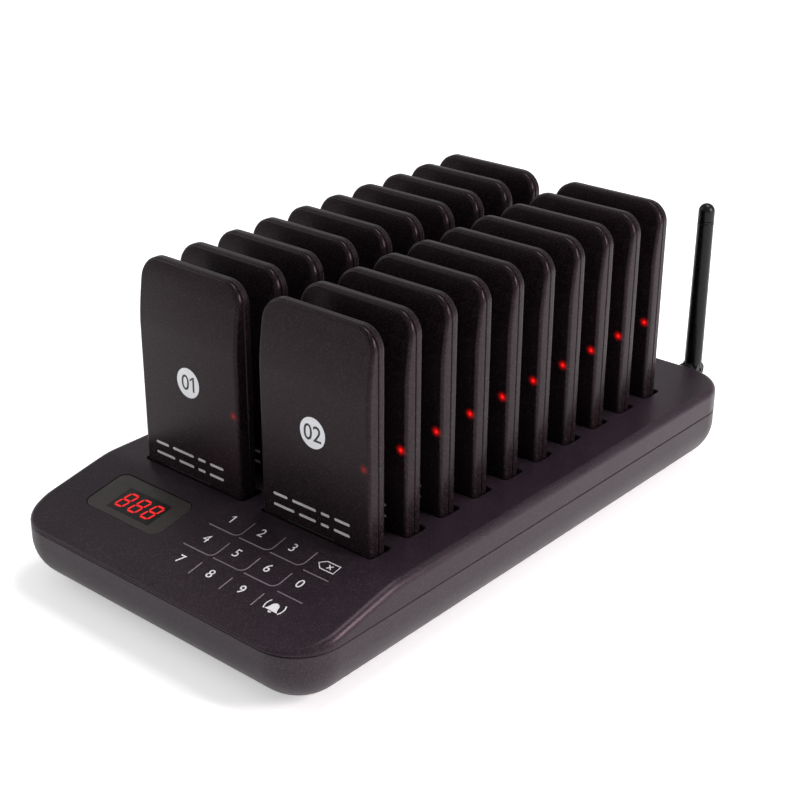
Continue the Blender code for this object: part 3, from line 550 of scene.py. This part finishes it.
def lathe(profile, sides=48, wave=None):
    """A solid of revolution about Z from (radius, z) points. A wave is (ribs, depth, z from, z to)."""
    bm = bmesh.new()
    rings = []
    for radius, z in profile:
        if radius == 0:
            rings.append([bm.verts.new((0, 0, z))])
            continue
        ring = []
        for k in range(sides):
            angle = 2 * math.pi * k / sides
            reach = radius
            if wave and wave[2] <= z <= wave[3]:
                reach -= wave[1] * (0.5 + 0.5 * math.cos(wave[0] * angle))
            ring.append(bm.verts.new((reach * math.cos(angle), reach * math.sin(angle), z)))
        rings.append(ring)
    for lower, upper in zip(rings, rings[1:]):
        for i in range(sides):
            j = (i + 1) % sides
            corners = {lower[i % len(lower)]: 0, lower[j % len(lower)]: 0}
            corners.update({upper[j % len(upper)]: 0, upper[i % len(upper)]: 0})
            bm.faces.new(list(corners))
    for ring in (rings[0], rings[-1]):
        if len(ring) > 1:
            bm.faces.new(ring)
    return bm


def rod(radius, low, high, bevel=0.0, sides=48):
    """A round bar about Z with rounded ends."""
    profile = [(radius - bevel, low), (radius, low + bevel), (radius, high - bevel), (radius - bevel, high)]
    return lathe(profile if bevel else [(radius, low), (radius, high)], sides)


def arc_points(centre, radius, start, end, steps=8):
    points = []
    for k in range(steps + 1):
        angle = math.radians(start + (end - start) * k / steps)
        points.append((centre[0] + radius * math.cos(angle), centre[1] + radius * math.sin(angle)))
    return points


def stroke(bm, points, width, height, closed=False):
    """A raised rib along a line in the plane, with sloping flanks and a flat top."""
    count = len(points)
    rings = []
    for i, (x, y) in enumerate(points):
        before = points[i - 1] if closed or i else points[i]
        after = points[(i + 1) % count] if closed or i < count - 1 else points[i]
        along = Vector((after[0] - before[0], after[1] - before[1])).normalized()
        side = Vector((-along.y, along.x)) * width / 2
        section = ((-1.0, -0.3), (-1.0, 0.2), (-0.45, 1.0), (0.45, 1.0), (1.0, 0.2), (1.0, -0.3))
        rings.append([bm.verts.new((x + side.x * a, y + side.y * a, b * height)) for a, b in section])
    pairs = list(zip(rings, rings[1:])) + ([(rings[-1], rings[0])] if closed else [])
    for first, second in pairs:
        join_rings(bm, first, second)
    if not closed:
        bm.faces.new(rings[0])
        bm.faces.new(rings[-1][::-1])


def plate(bm, points, height):
    """A thin flat shape with the given outline, standing a little proud."""
    low = [bm.verts.new((x, y, -0.3 * height)) for x, y in points]
    high = [bm.verts.new((x, y, height)) for x, y in points]
    join_rings(bm, low, high)
    bm.faces.new(high)
    bm.faces.new(low[::-1])


def capsule(bm, x0, x1, y, thick, height):
    """A round-ended dash."""
    r = thick / 2
    points = arc_points((x1 - r, y), r, -90, 90) + arc_points((x0 + r, y), r, 90, 270)
    plate(bm, points, height)


def number_mesh(text, size, height, middle=(0.0, 0.0), weight=0.0):
    """Digits as thin solid shapes, centred on middle."""
    curve = bpy.data.curves.new("digits", "FONT")
    curve.body = text
    curve.size = size
    curve.align_x = "CENTER"
    curve.align_y = "CENTER"
    curve.resolution_u = 6
    curve.extrude = height / 2
    curve.offset = weight
    helper = bpy.data.objects.new("digits", curve)
    bpy.context.scene.collection.objects.link(helper)
    graph = bpy.context.evaluated_depsgraph_get()
    mesh = bpy.data.meshes.new_from_object(helper.evaluated_get(graph))
    bm = bmesh.new()
    bm.from_mesh(mesh)
    bpy.data.objects.remove(helper, do_unlink=True)
    bpy.data.meshes.remove(mesh)
    for index, digit in enumerate(text):
        if digit == "1":
            left = ((index - (len(text) - 1) / 2) * DIGIT_PITCH - ONE_HALF) * size
            plate(bm, [(left + x * size, y * size) for x, y in ONE_FLAG], height / 2)
    bmesh.ops.remove_doubles(bm, verts=bm.verts, dist=MM / 1000)
    reach = [(min(v.co[i] for v in bm.verts) + max(v.co[i] for v in bm.verts)) / 2 for i in (0, 1)]
    shift = Matrix.Translation((middle[0], middle[1], height / 2))
    centre = Matrix.Translation((-reach[0], -reach[1], 0))
    bm.transform(shift @ centre)
    return bm


def merge(bm, other):
    """Adds a second mesh to the first and frees it."""
    mesh = bpy.data.meshes.new("merge")
    other.to_mesh(mesh)
    other.free()
    bm.from_mesh(mesh)
    bpy.data.meshes.remove(mesh)


# ---- base ----


def panel_height(v):
    """The cover's top: the sloping panel, which runs softly into the level deck."""
    line = PANEL_LIP + PANEL_SLOPE * (v + BASE_FRONT)
    return -PANEL_SOFTNESS * math.log1p(math.exp(-line / PANEL_SOFTNESS))


def cavity_height(v):
    return panel_height(v) - BASE_WALL


def middle_of(node):
    low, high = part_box(node)
    return (low + high) / 2


def under(node):
    """A place at the foot of a node, under its middle."""
    low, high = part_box(node)
    return Matrix.Translation(((low.x + high.x) / 2, (low.y + high.y) / 2, low.z))


def half_width(node):
    low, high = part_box(node)
    return (high.x - low.x) / 2


def on_rear_wall(point):
    """A place on the base's rear wall behind a point, with its Z axis to the rear."""
    return Matrix.Translation((point.x, cover_high.y, point.z)) @ ALONG_Y


def base_line(inset=0.0, front_inset=None, breaks=()):
    """The base's outline, seen from above. The front wall can have its own inset."""
    front = inset if front_inset is None else front_inset
    radius = BASE_RADIUS - inset
    return outline(BASE_HALF - inset, front - BASE_FRONT, BASE_REAR - inset, radius, radius, breaks, 14)


def pager_middle(number):
    """The middle of a pager's foot, from the frame."""
    node = f"pager_{number:02d}_case"
    if node not in frame["nodes"]:
        node = f"pager_{number:02d}_rear_shell"
    low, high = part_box(node)
    y = high.y - PAGER_THICK / 2
    return Vector(((low.x + high.x) / 2, y, low.z))


def slot_cutter():
    """All the finger gaps, each with a rounded mouth."""
    slots = bmesh.new()
    size = (2 * SLOT_SIDE, SLOT_FRONT + SLOT_REAR, 4 * BASE_WALL)
    for number in range(1, PAGERS + 1):
        middle = DECK.inverted() @ pager_middle(number)
        y = middle.y + (SLOT_REAR - SLOT_FRONT) / 2
        rounded_block(slots, (middle.x, y, 0), size, SLOT_RADIUS, flare=SLOT_FLARE)
    return slots


def make_cover():
    """The upper shell, hollow, with the slots, the window's recess and the antenna's hole."""
    breaks = [k * ROLL_STEP for k in range(-20, 3)] + [-BASE_FRONT + k * PANEL_STEP for k in range(4, 7)]
    body = dome(base_line(breaks=breaks), GAP / 2 - SEAM_DROP, panel_height, DECK_EDGE, 10, SEAM_CHAMFER)
    cover = add_piece("cover_shell", body, "base_plastic", DECK, replaces=["upper_cover"])
    inner = base_line(BASE_WALL, CAVITY_FRONT, breaks)
    cavity = dome(inner, -SEAM_DROP - BASE_WALL, cavity_height, 2 * BASE_WALL - DECK_EDGE, 4)
    recess = bmesh.new()
    recess_size = [side + 2 * GAP for side in WINDOW_SIZE]
    recess_depth = 2 * WINDOW_THICK + 4 * GAP
    rounded_block(recess, (*WINDOW_CENTRE, 0), (*recess_size, recess_depth), WINDOW_RADIUS + GAP)
    bore = rod(SOCKET_BORE, -2 * BASE_WALL, BASE_WALL)
    place = on_rear_wall(middle_of("antenna_connector"))
    carve(cover, [(cavity, DECK), (slot_cutter(), DECK), (recess, PANEL), (bore, place)])


def make_tray():
    """The lower shell, hollow, with the inlet's hole and the sunk screw holes."""
    depth = cover_high.z - tray_foot
    upside_down = Matrix.Diagonal((1, 1, -1, 1))
    body = dome(base_line(), SEAM_DROP + GAP / 2, level(depth), UNDERSIDE_RADIUS, 14, SEAM_CHAMFER)
    body.transform(upside_down)
    tray = add_piece("tray_shell", body, "tray_plastic", DECK, replaces=["lower_tray"])
    inside = base_line(BASE_WALL)
    cavity = dome(inside, SEAM_DROP - BASE_WALL, level(depth - BASE_WALL), UNDERSIDE_RADIUS - BASE_WALL, 8)
    cavity.transform(upside_down)
    half = half_width("power_inlet") + GAP
    hole = bmesh.new()
    rounded_block(hole, (0, 0, 0), (2 * half, 2 * half, 6 * BASE_WALL), 0.6 * MM)
    cutters = [(cavity, DECK), (hole, on_rear_wall(middle_of("power_inlet")))]
    for number in range(1, 5):
        middle = middle_of(f"case_screw_{number}")
        place = Matrix.Translation((middle.x, middle.y, tray_foot))
        radius = half_width(f"case_screw_{number}") + GAP
        cutters.append((rod(radius, -BASE_WALL, SCREW_SINK), place))
        cutters.append((rod(SCREW_BORE, -BASE_WALL, 2 * BASE_WALL, sides=24), place))
    carve(tray, cutters)


def make_foot(number):
    """A rubber foot with a shallow dish."""
    node = f"foot_{number}"
    low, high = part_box(node)
    radius, tall = half_width(node), high.z - low.z
    profile = [(0, FOOT_DISH), (radius - 2 * MM, FOOT_DISH), (radius - 1.6 * MM, 0), (radius - 0.4 * MM, 0),
               (radius - 0.1 * MM, 0.1 * MM), (radius, 0.4 * MM), (radius, tall)]
    add_piece(f"rubber_foot_{number}", lathe(profile, 64), "foot_rubber", under(node), replaces=[node])


def make_screw(number):
    """A pan-head screw with a cross recess."""
    node = f"case_screw_{number}"
    low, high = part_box(node)
    radius, long = half_width(node), high.z - low.z
    place = under(node)
    profile = [(radius - 0.8 * MM, 0), (radius - 0.25 * MM, 0.12 * MM), (radius, 0.45 * MM),
               (radius, SCREW_HEAD), (SCREW_SHANK, SCREW_HEAD), (SCREW_SHANK, long)]
    screw = add_piece(f"screw_{number}", lathe(profile, 40), "steel", place, replaces=[node])
    recess = []
    across, thin, deep = SCREW_CROSS
    for size in ((across, thin, deep), (thin, across, deep)):
        arm = bmesh.new()
        rounded_block(arm, (0, 0, 0), size, 0.2 * MM, 3)
        recess.append((arm, place))
    carve(screw, recess)


def make_underside_parts():
    for number in range(1, 5):
        make_foot(number)
        make_screw(number)


def make_inlet():
    """A barrel socket with a bezel, a round mouth and a centre pin."""
    low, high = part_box("power_inlet")
    middle = middle_of("power_inlet")
    side, long = 2 * half_width("power_inlet"), high.y - low.y
    place = Matrix.Translation((middle.x, low.y, middle.z)) @ ALONG_Y
    housing = bmesh.new()
    rounded_block(housing, (0, 0, long / 2), (side, side, long), 0.8 * MM, bevel=0.3 * MM)
    inlet = add_piece("inlet_housing", housing, "black_plastic", place, replaces=["power_inlet"])
    mouth = lathe([(INLET_MOUTH, 1 * MM), (INLET_MOUTH, long - 0.5 * MM),
                   (INLET_MOUTH + 0.6 * MM, long + 0.1 * MM)])
    carve(inlet, [(mouth, place)])
    pin = lathe([(INLET_PIN, 0.6 * MM), (INLET_PIN, long - 1.9 * MM),
                 (INLET_PIN - 0.25 * MM, long - 1.5 * MM)], 32)
    add_piece("inlet_pin", pin, "contact_metal", place)


# ---- control panel ----


def make_window():
    """The smoked plate in its recess, and the dark glass of the display on it."""
    window = bmesh.new()
    centre = (*WINDOW_CENTRE, -WINDOW_THICK / 2 - 0.1 * MM)
    rounded_block(window, centre, (*WINDOW_SIZE, WINDOW_THICK), WINDOW_RADIUS, 8, bevel=0.25 * MM)
    add_piece("window_plate", window, "window_film", PANEL, replaces=["display_window"])
    glass = bmesh.new()
    rounded_block(glass, (*GLASS_CENTRE, -0.1 * MM), (*GLASS_SIZE, 0.12 * MM), 0.4 * MM, 4, bevel=0.04 * MM)
    add_piece("display_glass", glass, "black_plastic", PANEL, material=GLASS)


def segment(bm, start, end):
    """One lit bar with pointed ends, between two corners of a digit."""
    a, b = Vector(start), Vector(end)
    along = (b - a).normalized()
    side = Vector((-along.y, along.x)) * SEGMENT_WIDTH / 2
    a, b = a + along * SEGMENT_GAP * SEGMENT_WIDTH, b - along * SEGMENT_GAP * SEGMENT_WIDTH
    inner_a, inner_b = a + along * SEGMENT_WIDTH / 2, b - along * SEGMENT_WIDTH / 2
    corners = [a, inner_a + side, inner_b + side, b, inner_b - side, inner_a - side]
    points = [(p.x + DIGIT_SLANT * (p.y - GLASS_CENTRE[1]), p.y) for p in corners]
    plate(bm, points, PRINT_THICK)


def make_display_digits():
    """Three slanting seven-segment digits with every bar lit."""
    bm = bmesh.new()
    half_x, half_y = DIGIT_SIZE[0] / 2, DIGIT_SIZE[1] / 2
    middle = GLASS_CENTRE[1]
    for x in DIGIT_COLUMNS:
        left, right = x - half_x, x + half_x
        for y in (middle - half_y, middle, middle + half_y):
            segment(bm, (left, y), (right, y))
        for side in (left, right):
            segment(bm, (side, middle - half_y), (side, middle))
            segment(bm, (side, middle), (side, middle + half_y))
    add_piece("display_digits", bm, "display_red", PANEL, replaces=["display_module"], angle=20)


def make_key_lines():
    """Raised hairlines: a front edge and a right edge round each key, coloured much lighter than the cover's
    plastic as a painted highlight along them.
    """
    bm = bmesh.new()
    for front in KEY_FRONTS:
        for column in range(3):
            left = KEY_LEFT + column * KEY_PITCH
            right = left + KEY_LINE
            centre = (right - KEY_RADIUS, front + KEY_RADIUS)
            line = [(left, front)] + arc_points(centre, KEY_RADIUS, -90, 0) + [(right, front + KEY_RISE)]
            stroke(bm, line, RIB_WIDTH, RIB_HEIGHT)
        left = KEY_LEFT + 3 * KEY_PITCH + 1.5 * MM
        y = front - 0.7 * MM
        stroke(bm, [(left, y), (left + 12.6 * MM, y)], RIB_WIDTH, RIB_HEIGHT)
    for column in range(3):
        x = KEY_LEFT + column * KEY_PITCH + KEY_LINE - 1.0 * MM
        stroke(bm, [(x, y) for y in KEY_LAST_ROW], RIB_WIDTH, RIB_HEIGHT)
    add_piece("key_lines", bm, "base_plastic", PANEL, material=KEY_RIB_PAINTED_HIGHLIGHT)


def make_key_labels():
    """Digits on the number keys, an erase mark and a bell on the other two."""
    bm = bmesh.new()
    for y, digits in zip(KEY_ROWS, ("123", "4560", "789")):
        for column, digit in enumerate(digits):
            middle = (LABEL_LEFT + column * KEY_PITCH, y)
            merge(bm, number_mesh(digit, LABEL_SIZE, LABEL_HEIGHT, middle))
    draw_erase_mark(bm, *ERASE_PLACE)
    draw_bell(bm, *BELL_PLACE)
    add_piece("key_labels", bm, "base_plastic", PANEL, material=PRINT, angle=20)


def draw_erase_mark(bm, x, y):
    """A tag that points left, with a cross in it."""
    point, neck, end, half, arm = (side * MM for side in (4.6, 2.2, 4.4, 2.2, 1.0))
    tag = [(x - point, y), (x - neck, y + half), (x + end, y + half), (x + end, y - half),
           (x - neck, y - half)]
    stroke(bm, tag, MARK_WIDTH, LABEL_HEIGHT, closed=True)
    for sign in (-1, 1):
        stroke(bm, [(x, y - sign * arm), (x + 2 * arm, y + sign * arm)], MARK_WIDTH, LABEL_HEIGHT)


def draw_bell(bm, x, y):
    """A hand bell: a dome on a flared rim, with its clapper and two sound arcs."""
    waist, foot, crown, clapper, sound = (side * MM for side in (2.3, 3.1, 1.9, 0.8, 4.3))
    rim = y - 1.6 * MM
    shape = [(x + foot, rim), (x + waist, rim + 0.9 * MM)]
    shape += arc_points((x, y + 0.5 * MM), crown, 0, 180, 12)
    shape += [(x - waist, rim + 0.9 * MM), (x - foot, rim)]
    plate(bm, shape, LABEL_HEIGHT)
    plate(bm, arc_points((x, rim - 0.35 * MM), clapper, 180, 360), LABEL_HEIGHT)
    for start, end in ((-35, 35), (145, 215)):
        stroke(bm, arc_points((x, y + 0.6 * MM), sound, start, end), MARK_WIDTH, LABEL_HEIGHT)


# ---- pagers ----

# Shells are drawn lying down, as (x, z, depth), and then turned to face the front or the rear.
SEAM = Matrix.Translation((0, SEAM_Y, 0))
TO_FRONT = SEAM @ Matrix.Rotation(math.radians(90), 4, "X")
TO_REAR = SEAM @ Matrix.Rotation(math.radians(180), 4, "Z") @ Matrix.Rotation(math.radians(90), 4, "X")
FACE = Matrix.Translation((0, -PAGER_THICK / 2, 0)) @ Matrix.Rotation(math.radians(90), 4, "X")


def face_depth(v):
    """The front face is flat below and leans back towards the top edge."""
    if v <= SLOPE_START:
        return FRONT_DEPTH
    share = (v - SLOPE_START) / (PAGER_HEIGHT - SLOPE_START)
    return FRONT_DEPTH - SLOPE_DROP * min(share, 1.0) ** SLOPE_POWER


def pager_line(inset=0.0):
    """A pager's outline, seen from the front, with extra points where its face leans back."""
    breaks = [SLOPE_START + k * SLOPE_STEP for k in range(-1, 19)]
    foot, top = PAGER_FOOT_RADIUS - inset, PAGER_TOP_RADIUS - inset
    return outline(PAGER_WIDTH / 2 - inset, inset, PAGER_HEIGHT - inset, foot, top, breaks)


def notice_mesh():
    """Rows of round-ended dashes, each row as long as the others."""
    notice = bmesh.new()
    for height, words in NOTICE_ROWS:
        x = NOTICE_LEFT
        scale = NOTICE_LONG / (sum(words) + NOTICE_SPACE * (len(words) - 1))
        for word in words:
            capsule(notice, x, x + word * scale, SLOT_DEPTH + height, NOTICE_THICK, PRINT_THICK)
            x += (word + NOTICE_SPACE) * scale
    return notice


def lens_mesh():
    """The small domed light on a pager's front."""
    profile = [(LED_RADIUS, -0.1 * MM), (LED_RADIUS * 0.95, 0.06 * MM), (LED_RADIUS * 0.6, 0.12 * MM),
               (0, 0.15 * MM)]
    return lathe(profile, 32)


def pager_meshes():
    """The shapes that every pager shares, as {part: bmesh}, in a pager's own frame."""
    line = pager_line()
    front = dome(line, GAP / 2, face_depth, PAGER_EDGE, 6, SEAM_BEVEL)
    rear = dome(line, GAP / 2, level(REAR_DEPTH), PAGER_EDGE, 6, SEAM_BEVEL)
    core = dome(pager_line(SEAM_INSET), -GAP, level(GAP), 0.1 * MM, 1)
    groove = bmesh.new()
    capsule(groove, -14 * MM, 10.5 * MM, SLOT_DEPTH + 0.9 * MM, 0.45 * MM, 0.25 * MM)
    label = rod(DISC_RADIUS, -0.05 * MM, 0.06 * MM, 0.02 * MM, 72)
    pads = bmesh.new()
    for x in (-PAD_X, PAD_X):
        rounded_block(pads, (x, -1.8 * MM, 0.0), PAD_SIZE, 0.5 * MM, 4)
    placed = {
        "front": (front, TO_FRONT),
        "rear": (rear, TO_REAR),
        "core": (core, TO_FRONT),
        "groove": (groove, FACE),
        "notice": (notice_mesh(), FACE),
        "label": (label, FACE @ Matrix.Translation((0, DISC_HEIGHT, 0))),
        "lens": (lens_mesh(), FACE @ Matrix.Translation((LED_PLACE.x, LED_PLACE.z, 0))),
        "pads": (pads, Matrix.Identity(4)),
    }
    for bm, place in placed.values():
        bm.transform(place)
    return {part: bm for part, (bm, place) in placed.items()}


PAGER_PARTS = {
    "front": ("pager_plastic", None),
    "rear": ("pager_plastic", None),
    "core": ("black_plastic", None),
    "groove": ("black_plastic", None),
    "notice": ("number_disc", NOTICE_PRINT),
    "label": ("number_disc", None),
    "lens": ("light_guide", None),
    "pads": ("contact_metal", None),
}


def hollow_out(front, rear, core, place):
    """Makes room inside the open pager for its board, cell, motor and sounder."""
    breaks = [SLOPE_START + 2 * k * SLOPE_STEP for k in range(6)]
    half = PAGER_WIDTH / 2 - PAGER_WALL
    low_line = outline(half, PAGER_WALL, ROOM_TOP, ROOM_RADIUS, 2 * ROOM_RADIUS, breaks, 6)
    front_room = dome(low_line, -1 * MM, lambda v: face_depth(v) - PAGER_WALL, ROOM_EDGE, 3)
    carve(front, [(front_room, place @ TO_FRONT)])
    top, top_radius = PAGER_HEIGHT - PAGER_WALL, PAGER_TOP_RADIUS - PAGER_WALL
    high_line = outline(half, PAGER_WALL, top, ROOM_RADIUS, top_radius, breaks, 6)
    rear_room = dome(high_line, -1 * MM, level(REAR_DEPTH - PAGER_WALL), ROOM_EDGE, 3)
    carve(rear, [(rear_room, place @ TO_REAR)])
    core_room = dome(low_line, -2 * GAP, level(2 * GAP), 0.05 * MM, 1)
    carve(core, [(core_room, place @ TO_FRONT)])


def make_pagers():
    """Every pager's pieces, from shared meshes. The open pager's shells replace its CAD shells."""
    shared = {}
    for part, bm in pager_meshes().items():
        slot, material = PAGER_PARTS[part]
        shared[part] = finished(f"pager_{part}", bm, material or MATERIALS[slot])
    faint_front = shared["front"].copy()
    faint_front.materials[0] = FAINT_PAGER
    for number in range(1, PAGERS + 1):
        body = f"pager_{number:02d}"
        place = Matrix.Translation(pager_middle(number))
        meshes = dict(shared)
        if number < FIRST_LIT:
            meshes["front"] = faint_front
            del meshes["lens"]
        pieces = {}
        for part, mesh in meshes.items():
            pieces[part] = add_piece(f"{body}_{part}_piece", mesh, PAGER_PARTS[part][0], place, body)
        digits = number_mesh(f"{number:02d}", DISC_DIGITS, PRINT_THICK, weight=0.04 * MM)
        digits.transform(FACE @ Matrix.Translation((0, DISC_HEIGHT, 0.05 * MM)))
        add_piece(f"{body}_digits", digits, "black_plastic", place, body, DARK_PRINT)
        if f"{body}_case" in frame["nodes"]:
            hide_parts(f"{body}_case")
            continue
        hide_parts(f"{body}_front_shell", f"{body}_light_guide")
        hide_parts(f"{body}_rear_shell")
        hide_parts(f"{body}_number_disc")
        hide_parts(f"{body}_contact_a", f"{body}_contact_b")
        hollow_out(pieces["front"], pieces["rear"], pieces["core"], place)


# ---- antenna ----


def make_whip(hinge):
    """The rubber whip, with two fine grooves below its round tip and a fork for the hinge at its foot."""
    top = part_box("antenna_tip")[1].z - hinge.translation.z
    low_radius, high_radius = WHIP_RADIUS
    groove_radius = high_radius - GROOVE_DEPTH
    joint = top - TIP_LENGTH
    profile = [(low_radius, 0), (low_radius, SHAFT_FOOT), (high_radius, joint - 0.3 * MM)]
    for start in (joint, joint + GROOVE_PITCH):
        profile += [(high_radius, start - 0.05 * MM), (groove_radius, start + 0.1 * MM),
                    (groove_radius, start + 0.35 * MM), (high_radius, start + 0.5 * MM)]
    for k in range(TIP_STEPS):
        angle = math.radians(90 * k / TIP_STEPS)
        profile.append((high_radius * math.cos(angle), top - high_radius * (1 - math.sin(angle))))
    profile.append((0, top))
    whip = add_piece("whip", lathe(profile, 64), "antenna_rubber", hinge, "antenna_whip",
                     replaces=["antenna_whip", "antenna_tip"])
    knuckle = rod(KNUCKLE_RADIUS, -KNUCKLE_HALF, KNUCKLE_HALF, 0.5 * MM, 64)
    carve(whip, [(knuckle, hinge @ ALONG_X)], "UNION")
    fork = bmesh.new()
    reach = 2 * KNUCKLE_RADIUS
    fork_top = KNUCKLE_RADIUS + 0.3 * MM
    fork_size = (2 * (TONGUE_HALF + GAP), 2 * reach, fork_top + reach)
    rounded_block(fork, (0, 0, (fork_top - reach) / 2), fork_size, 0.3 * MM, 3)
    carve(whip, [(fork, hinge), (rod(PIN_RADIUS + GAP, -reach, reach, sides=32), hinge @ ALONG_X)])


def make_swivel(hinge):
    """The ribbed coupling that turns on the socket, with a tongue that holds the hinge pin."""
    centre = hinge.translation
    start, collar = COUPLING_START, COUPLING_END
    profile = [(COUPLING_RADIUS - 0.5 * MM, start), (COUPLING_RADIUS - 0.15 * MM, start + 0.15 * MM)]
    for z in (start + 0.5 * MM, start + 0.9 * MM, start + 1.1 * MM,
              collar - 1.5 * MM, collar - 1.3 * MM, collar - 0.6 * MM):
        profile.append((COUPLING_RADIUS, z))
    profile += [(COUPLING_RADIUS - 0.2 * MM, collar - 0.2 * MM), (COUPLING_RADIUS - 0.7 * MM, collar),
                (TONGUE_HALF, collar + 0.6 * MM)]
    ribs = (COUPLING_RIBS, RIB_DEPTH, start + 1.0 * MM, collar - 1.4 * MM)
    swivel = add_piece("swivel", lathe(profile, 144, ribs), "antenna_rubber", on_rear_wall(centre),
                       "antenna_swivel", replaces=["antenna_swivel"])
    tongue = bmesh.new()
    behind = centre.y - cover_high.y
    long = behind - collar + 1 * MM
    rounded_block(tongue, (0, -long / 2, 0), (2 * TONGUE_HALF, long, 2 * NECK_RADIUS), 0.2 * MM, 3)
    eye = rod(NECK_RADIUS, -TONGUE_HALF, TONGUE_HALF, 0.2 * MM)
    carve(swivel, [(tongue, hinge), (eye, hinge @ ALONG_X)], "UNION")
    carve(swivel, [(rod(PIN_RADIUS + GAP, -NECK_RADIUS, NECK_RADIUS, sides=32), hinge @ ALONG_X)])


def make_antenna():
    hinge = Matrix.Translation(middle_of("antenna_hinge_pin"))
    make_whip(hinge)
    make_swivel(hinge)


# ---- what stays from the frame ----


def finish_frame_nodes():
    """Every CAD node that still shows takes the material of its slot."""
    for part in frame["record"]["subparts"]:
        mesh = frame["nodes"][part["node"]].data
        mesh.materials.clear()
        mesh.materials.append(MATERIALS[part["material_slot"]])
    frame["nodes"]["antenna_hinge_pin"].data.materials[0] = BLACKENED


# ---- stage, light and camera ----


def make_stage():
    """A white floor that glows a little, and a white surround."""
    s = Shader("studio_floor", Roughness=0.7, Emission_Color=WHITE, Emission_Strength=FLOOR_GLOW)
    s.set("Base Color", s.blend(s.noise(3, 2), (0.90, 0.90, 0.90), (0.93, 0.93, 0.93)))
    s.bump(s.noise(60, 2), 0.02, 1 * MM)
    bm = bmesh.new()
    bmesh.ops.create_grid(bm, x_segments=8, y_segments=8, size=FLOOR_HALF)
    floor = bpy.data.objects.new("studio_floor", finished("studio_floor", bm, s.mat))
    floor.location = (0, 0, cad_low.z)
    bpy.context.scene.collection.objects.link(floor)
    world = bpy.data.worlds.new("studio")
    world.use_nodes = True
    background = world.node_tree.nodes["Background"]
    background.inputs["Color"].default_value = WHITE
    background.inputs["Strength"].default_value = SURROUND_STRENGTH
    bpy.context.scene.world = world
    bpy.context.scene.view_settings.view_transform = "Standard"


def add_softbox(name, place, size, power, colour=WHITE[:3]):
    """A rectangular light that faces the object."""
    light = bpy.data.lights.new(name, "AREA")
    light.shape = "RECTANGLE"
    light.size, light.size_y = size
    light.energy = power
    light.color = colour
    obj = bpy.data.objects.new(name, light)
    obj.location = place
    obj.rotation_euler = (LIGHT_TARGET - Vector(place)).to_track_quat("-Z", "Y").to_euler()
    bpy.context.scene.collection.objects.link(obj)


def make_lights():
    add_softbox("right_softbox", (1.0, 0.35, 0.55), (0.3, 0.5), 12, (1.0, 0.90, 0.92))
    add_softbox("top_softbox", (0.1, 0.35, 1.3), (0.6, 0.4), 7)
    add_softbox("left_softbox", (-1.1, -0.6, 0.7), (0.6, 0.8), 3)


def make_camera():
    """The photo's viewpoint, from a fitted azimuth, elevation, roll, target and distance of the camera."""
    azimuth, elevation, roll = (math.radians(a) for a in (CAMERA_AZIMUTH, CAMERA_ELEVATION, CAMERA_ROLL))
    flat = math.cos(elevation)
    back = Vector((math.sin(azimuth) * flat, -math.cos(azimuth) * flat, math.sin(elevation)))
    right = Vector((math.cos(azimuth), math.sin(azimuth), 0))
    up = back.cross(right)
    right, up = right * math.cos(roll) + up * math.sin(roll), up * math.cos(roll) - right * math.sin(roll)
    place = DECK @ (Vector(CAMERA_TARGET) + back * CAMERA_DISTANCE)
    camera = bpy.data.cameras.new("camera")
    camera.lens = LENS
    camera.sensor_width = 36.0
    camera.shift_x, camera.shift_y = CAMERA_SHIFT
    camera.clip_start = 0.01
    obj = bpy.data.objects.new("camera", camera)
    axes = Matrix((right, up, back)).transposed().to_4x4()
    obj.matrix_world = Matrix.Translation(place) @ axes
    bpy.context.scene.collection.objects.link(obj)
    bpy.context.scene.camera = obj


make_camera()
make_stage()
make_lights()
make_cover()
make_tray()
make_underside_parts()
make_inlet()
make_window()
make_display_digits()
make_key_lines()
make_key_labels()
make_pagers()
make_antenna()
finish_frame_nodes()
